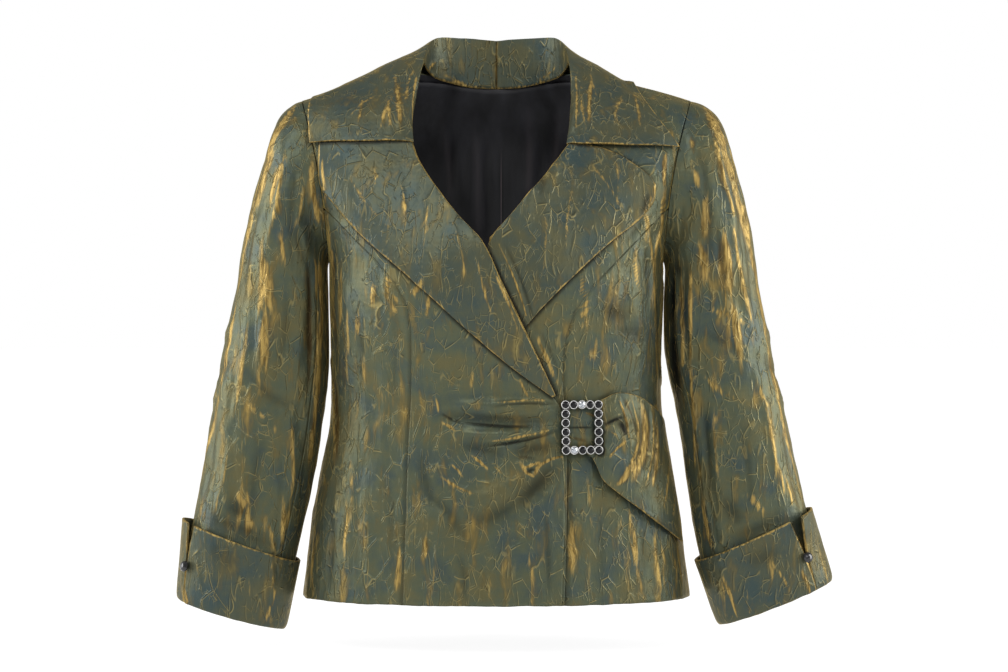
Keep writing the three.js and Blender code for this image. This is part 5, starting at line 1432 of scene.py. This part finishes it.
@dataclass
class Buckle:
    """The rectangle of round settings that holds the drape, with a cut stone in each."""

    stones: int = 18
    clear: tuple[int, ...] = (3, 15)
    ring_radius: float = 4.25 * MM
    ring_wall: float = 0.7 * MM
    ring_height: float = 2.4 * MM
    ring_steps: tuple[int, int] = (24, 6)        # round the rim, and round its section
    stone_radius: float = 3.4 * MM
    facets: int = 12
    girdle: float = 1.6 * MM                     # height of a stone's straight part
    crown: tuple[float, float] = (0.65 * MM, 0.78)   # height, and share of the width above it
    table: tuple[float, float] = (0.45 * MM, 0.68)
    facet_turn: float = math.radians(15)
    stone_turn: float = math.radians(7)          # a stone sits turned by up to three of these

    def build(self, plate: bpy.types.Material, base: bpy.types.Material, jet: bpy.types.Material,
              crystal: bpy.types.Material) -> None:
        """Makes the settings and the stones.

        Args:
            plate: The rims' polished metal.
            base: The metal behind them, dark grey as painted shade.
            jet: The black stones' glass.
            crystal: The clear stones' glass.
        """
        tilt = self._tilt()
        rings = []
        for number in range(1, self.stones + 1):
            name = f"stone_{number:02d}"
            middle, _ = middle_of(name)
            rings.append(self._ring(middle, tilt, plate))
            look = crystal if number in self.clear else jet
            stone = self._stone(middle, tilt, look, number)
            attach(stone, ROOT)
            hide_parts(name)
        rims = join(rings, "setting_rims")
        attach(rims, ROOT)
        frame["nodes"]["buckle"].data.materials.clear()
        frame["nodes"]["buckle"].data.materials.append(base)
        LOG.info("buckle: %d stones and %s", self.stones, rims.name)

    def _tilt(self) -> float:
        """Finds how far the buckle turns with the body, from its outer stones.

        Returns:
            The turn about the upright, in radians.
        """
        near, _ = middle_of("stone_01")
        far, _ = middle_of("stone_05")
        return math.atan2(far.y - near.y, far.x - near.x)

    def _ring(self, middle: Vector, tilt: float, look: bpy.types.Material) -> bpy.types.Object:
        """Makes one setting's rim, a short tube with a rounded lip."""
        deselect()
        bpy.ops.mesh.primitive_torus_add(
            location=middle, rotation=(math.pi / 2, 0, tilt),
            major_segments=self.ring_steps[0], minor_segments=self.ring_steps[1],
            major_radius=self.ring_radius - self.ring_wall / 2, minor_radius=self.ring_wall / 2)
        ring = bpy.context.view_layer.objects.active
        ring.scale.z = self.ring_height / self.ring_wall
        ring.data.materials.append(look)
        apply_place(ring)
        bpy.ops.object.shade_smooth()
        return ring

    def _stone(self, middle: Vector, tilt: float, look: bpy.types.Material,
               number: int) -> bpy.types.Object:
        """Makes one cut stone: a cone frustum crown over a short girdle and a closed base."""
        deselect()
        bpy.ops.mesh.primitive_cylinder_add(vertices=self.facets, radius=self.stone_radius,
                                            depth=self.girdle, location=(0, 0, 0))
        stone = bpy.context.view_layer.objects.active
        stone.name = f"cut_stone_{number:02d}"
        bpy.ops.object.mode_set(mode="EDIT")
        bpy.ops.mesh.select_all(action="DESELECT")
        work = bmesh.from_edit_mesh(stone.data)
        for face in work.faces:
            face.select = face.normal.z > 0.9
        bmesh.update_edit_mesh(stone.data)
        for (height, share), turn in ((self.crown, self.facet_turn), (self.table, None)):
            bpy.ops.mesh.extrude_region_move(TRANSFORM_OT_translate={"value": (0, 0, height)})
            bpy.ops.transform.resize(value=(share, share, 1))
            if turn is not None:
                bpy.ops.transform.rotate(value=turn, orient_axis="Z", center_override=(0, 0, 0))
        bpy.ops.object.mode_set(mode="OBJECT")
        stone.data.materials.append(look)
        stone.location = middle
        stone.rotation_euler = (math.pi / 2, self.stone_turn * (number % 4), tilt)
        apply_place(stone)
        return stone


@dataclass
class CuffButton:
    """A black domed shank button on each cuff's wing, which keeps its solid's form."""

    sides: tuple[str, ...] = ("right", "left")

    def build(self, resin: bpy.types.Material) -> None:
        """Dresses both buttons.

        Args:
            resin: The buttons' finish.
        """
        for side in self.sides:
            node = frame["nodes"][f"button_{side}"]
            node.data.materials.clear()
            node.data.materials.append(resin)
            LOG.info("button_%s: polished resin", side)


# Studio ----------------------------------------------------------------------------------------


@dataclass
class Studio:
    """The pale floor, the soft lights and the camera."""

    floor_z: float = -0.582
    floor_radius: float = 60.0
    camera_at: tuple[float, float, float] = (0.008, -2.8, -0.266)
    aim: tuple[float, float, float] = (0, 0, -0.25)      # what the lights face
    fill: float = 0.42               # light from all round, while the backdrop itself is white
    lens: float = 97.09              # mm, on a sensor this wide
    sensor: float = 36.0
    far: float = 200.0               # how far the camera sees
    lights: tuple[tuple[str, tuple[float, float, float], float, float], ...] = (
        ("key", (-1.3, -2.2, 2.0), 1.6, 46), ("fill", (1.7, -2.2, 1.0), 1.6, 16),
        ("side_right", (-2.3, 0.1, 0.3), 1.4, 36), ("side_left", (2.3, 0.1, 0.3), 1.4, 40))

    def build(self, floor_look: bpy.types.Material) -> None:
        """Sets the studio up.

        Args:
            floor_look: The floor's finish.
        """
        deselect()
        bpy.ops.mesh.primitive_circle_add(vertices=64, radius=self.floor_radius,
                                          fill_type="NGON", location=(0, 0, self.floor_z))
        floor = bpy.context.view_layer.objects.active
        floor.name = "studio_floor"
        floor.data.materials.append(floor_look)
        apply_place(floor)
        for light in self.lights:
            self._light(*light)
        world = bpy.data.worlds.new("studio_white")
        world.use_nodes = True
        tree = world.node_tree
        tree.nodes.clear()
        seen = add_node(tree, "LightPath").outputs["Is Camera Ray"]
        strength = add_node(tree, "MapRange", {0: seen, 3: self.fill, 4: 1.0}).outputs[0]
        sky = add_node(tree, "Background", {0: (1, 1, 1, 1), 1: strength})
        add_node(tree, "OutputWorld", {0: sky.outputs[0]})
        bpy.context.scene.world = world
        bpy.context.scene.view_settings.view_transform = "Standard"
        camera_data = bpy.data.cameras.new("camera")
        camera_data.lens = self.lens
        camera_data.sensor_width = self.sensor
        camera_data.clip_end = self.far
        camera = bpy.data.objects.new("camera", camera_data)
        camera.location = self.camera_at
        camera.rotation_euler = (math.pi / 2, 0, 0)
        bpy.context.scene.collection.objects.link(camera)
        bpy.context.scene.camera = camera
        LOG.info("studio: floor at %.3f m", self.floor_z)

    def _light(self, name: str, at: tuple[float, float, float], size: float, power: float) -> None:
        """Adds a square soft light that faces the garment."""
        data = bpy.data.lights.new(name, "AREA")
        data.size = size
        data.energy = power
        light = bpy.data.objects.new(name, data)
        light.location = at
        way = Vector(self.aim) - Vector(at)
        light.rotation_euler = way.to_track_quat("-Z", "Y").to_euler()
        bpy.context.scene.collection.objects.link(light)


def main() -> None:
    """Builds the blazer's looks in order."""
    taffeta = ShotTaffeta().build()
    turned = ShotTaffeta("turned_taffeta", "#384849", "#464E44", "#51523F", "#84784A").build()
    lining = LiningSatin().build()
    ClothWork().build(taffeta, turned, lining)
    Buckle().build(PLATE.build(), BASE.build(), JET.build(), CRYSTAL.build())
    CuffButton().build(RESIN.build())
    Studio().build(FLOOR.build())


if __name__ == "__main__":
    main()
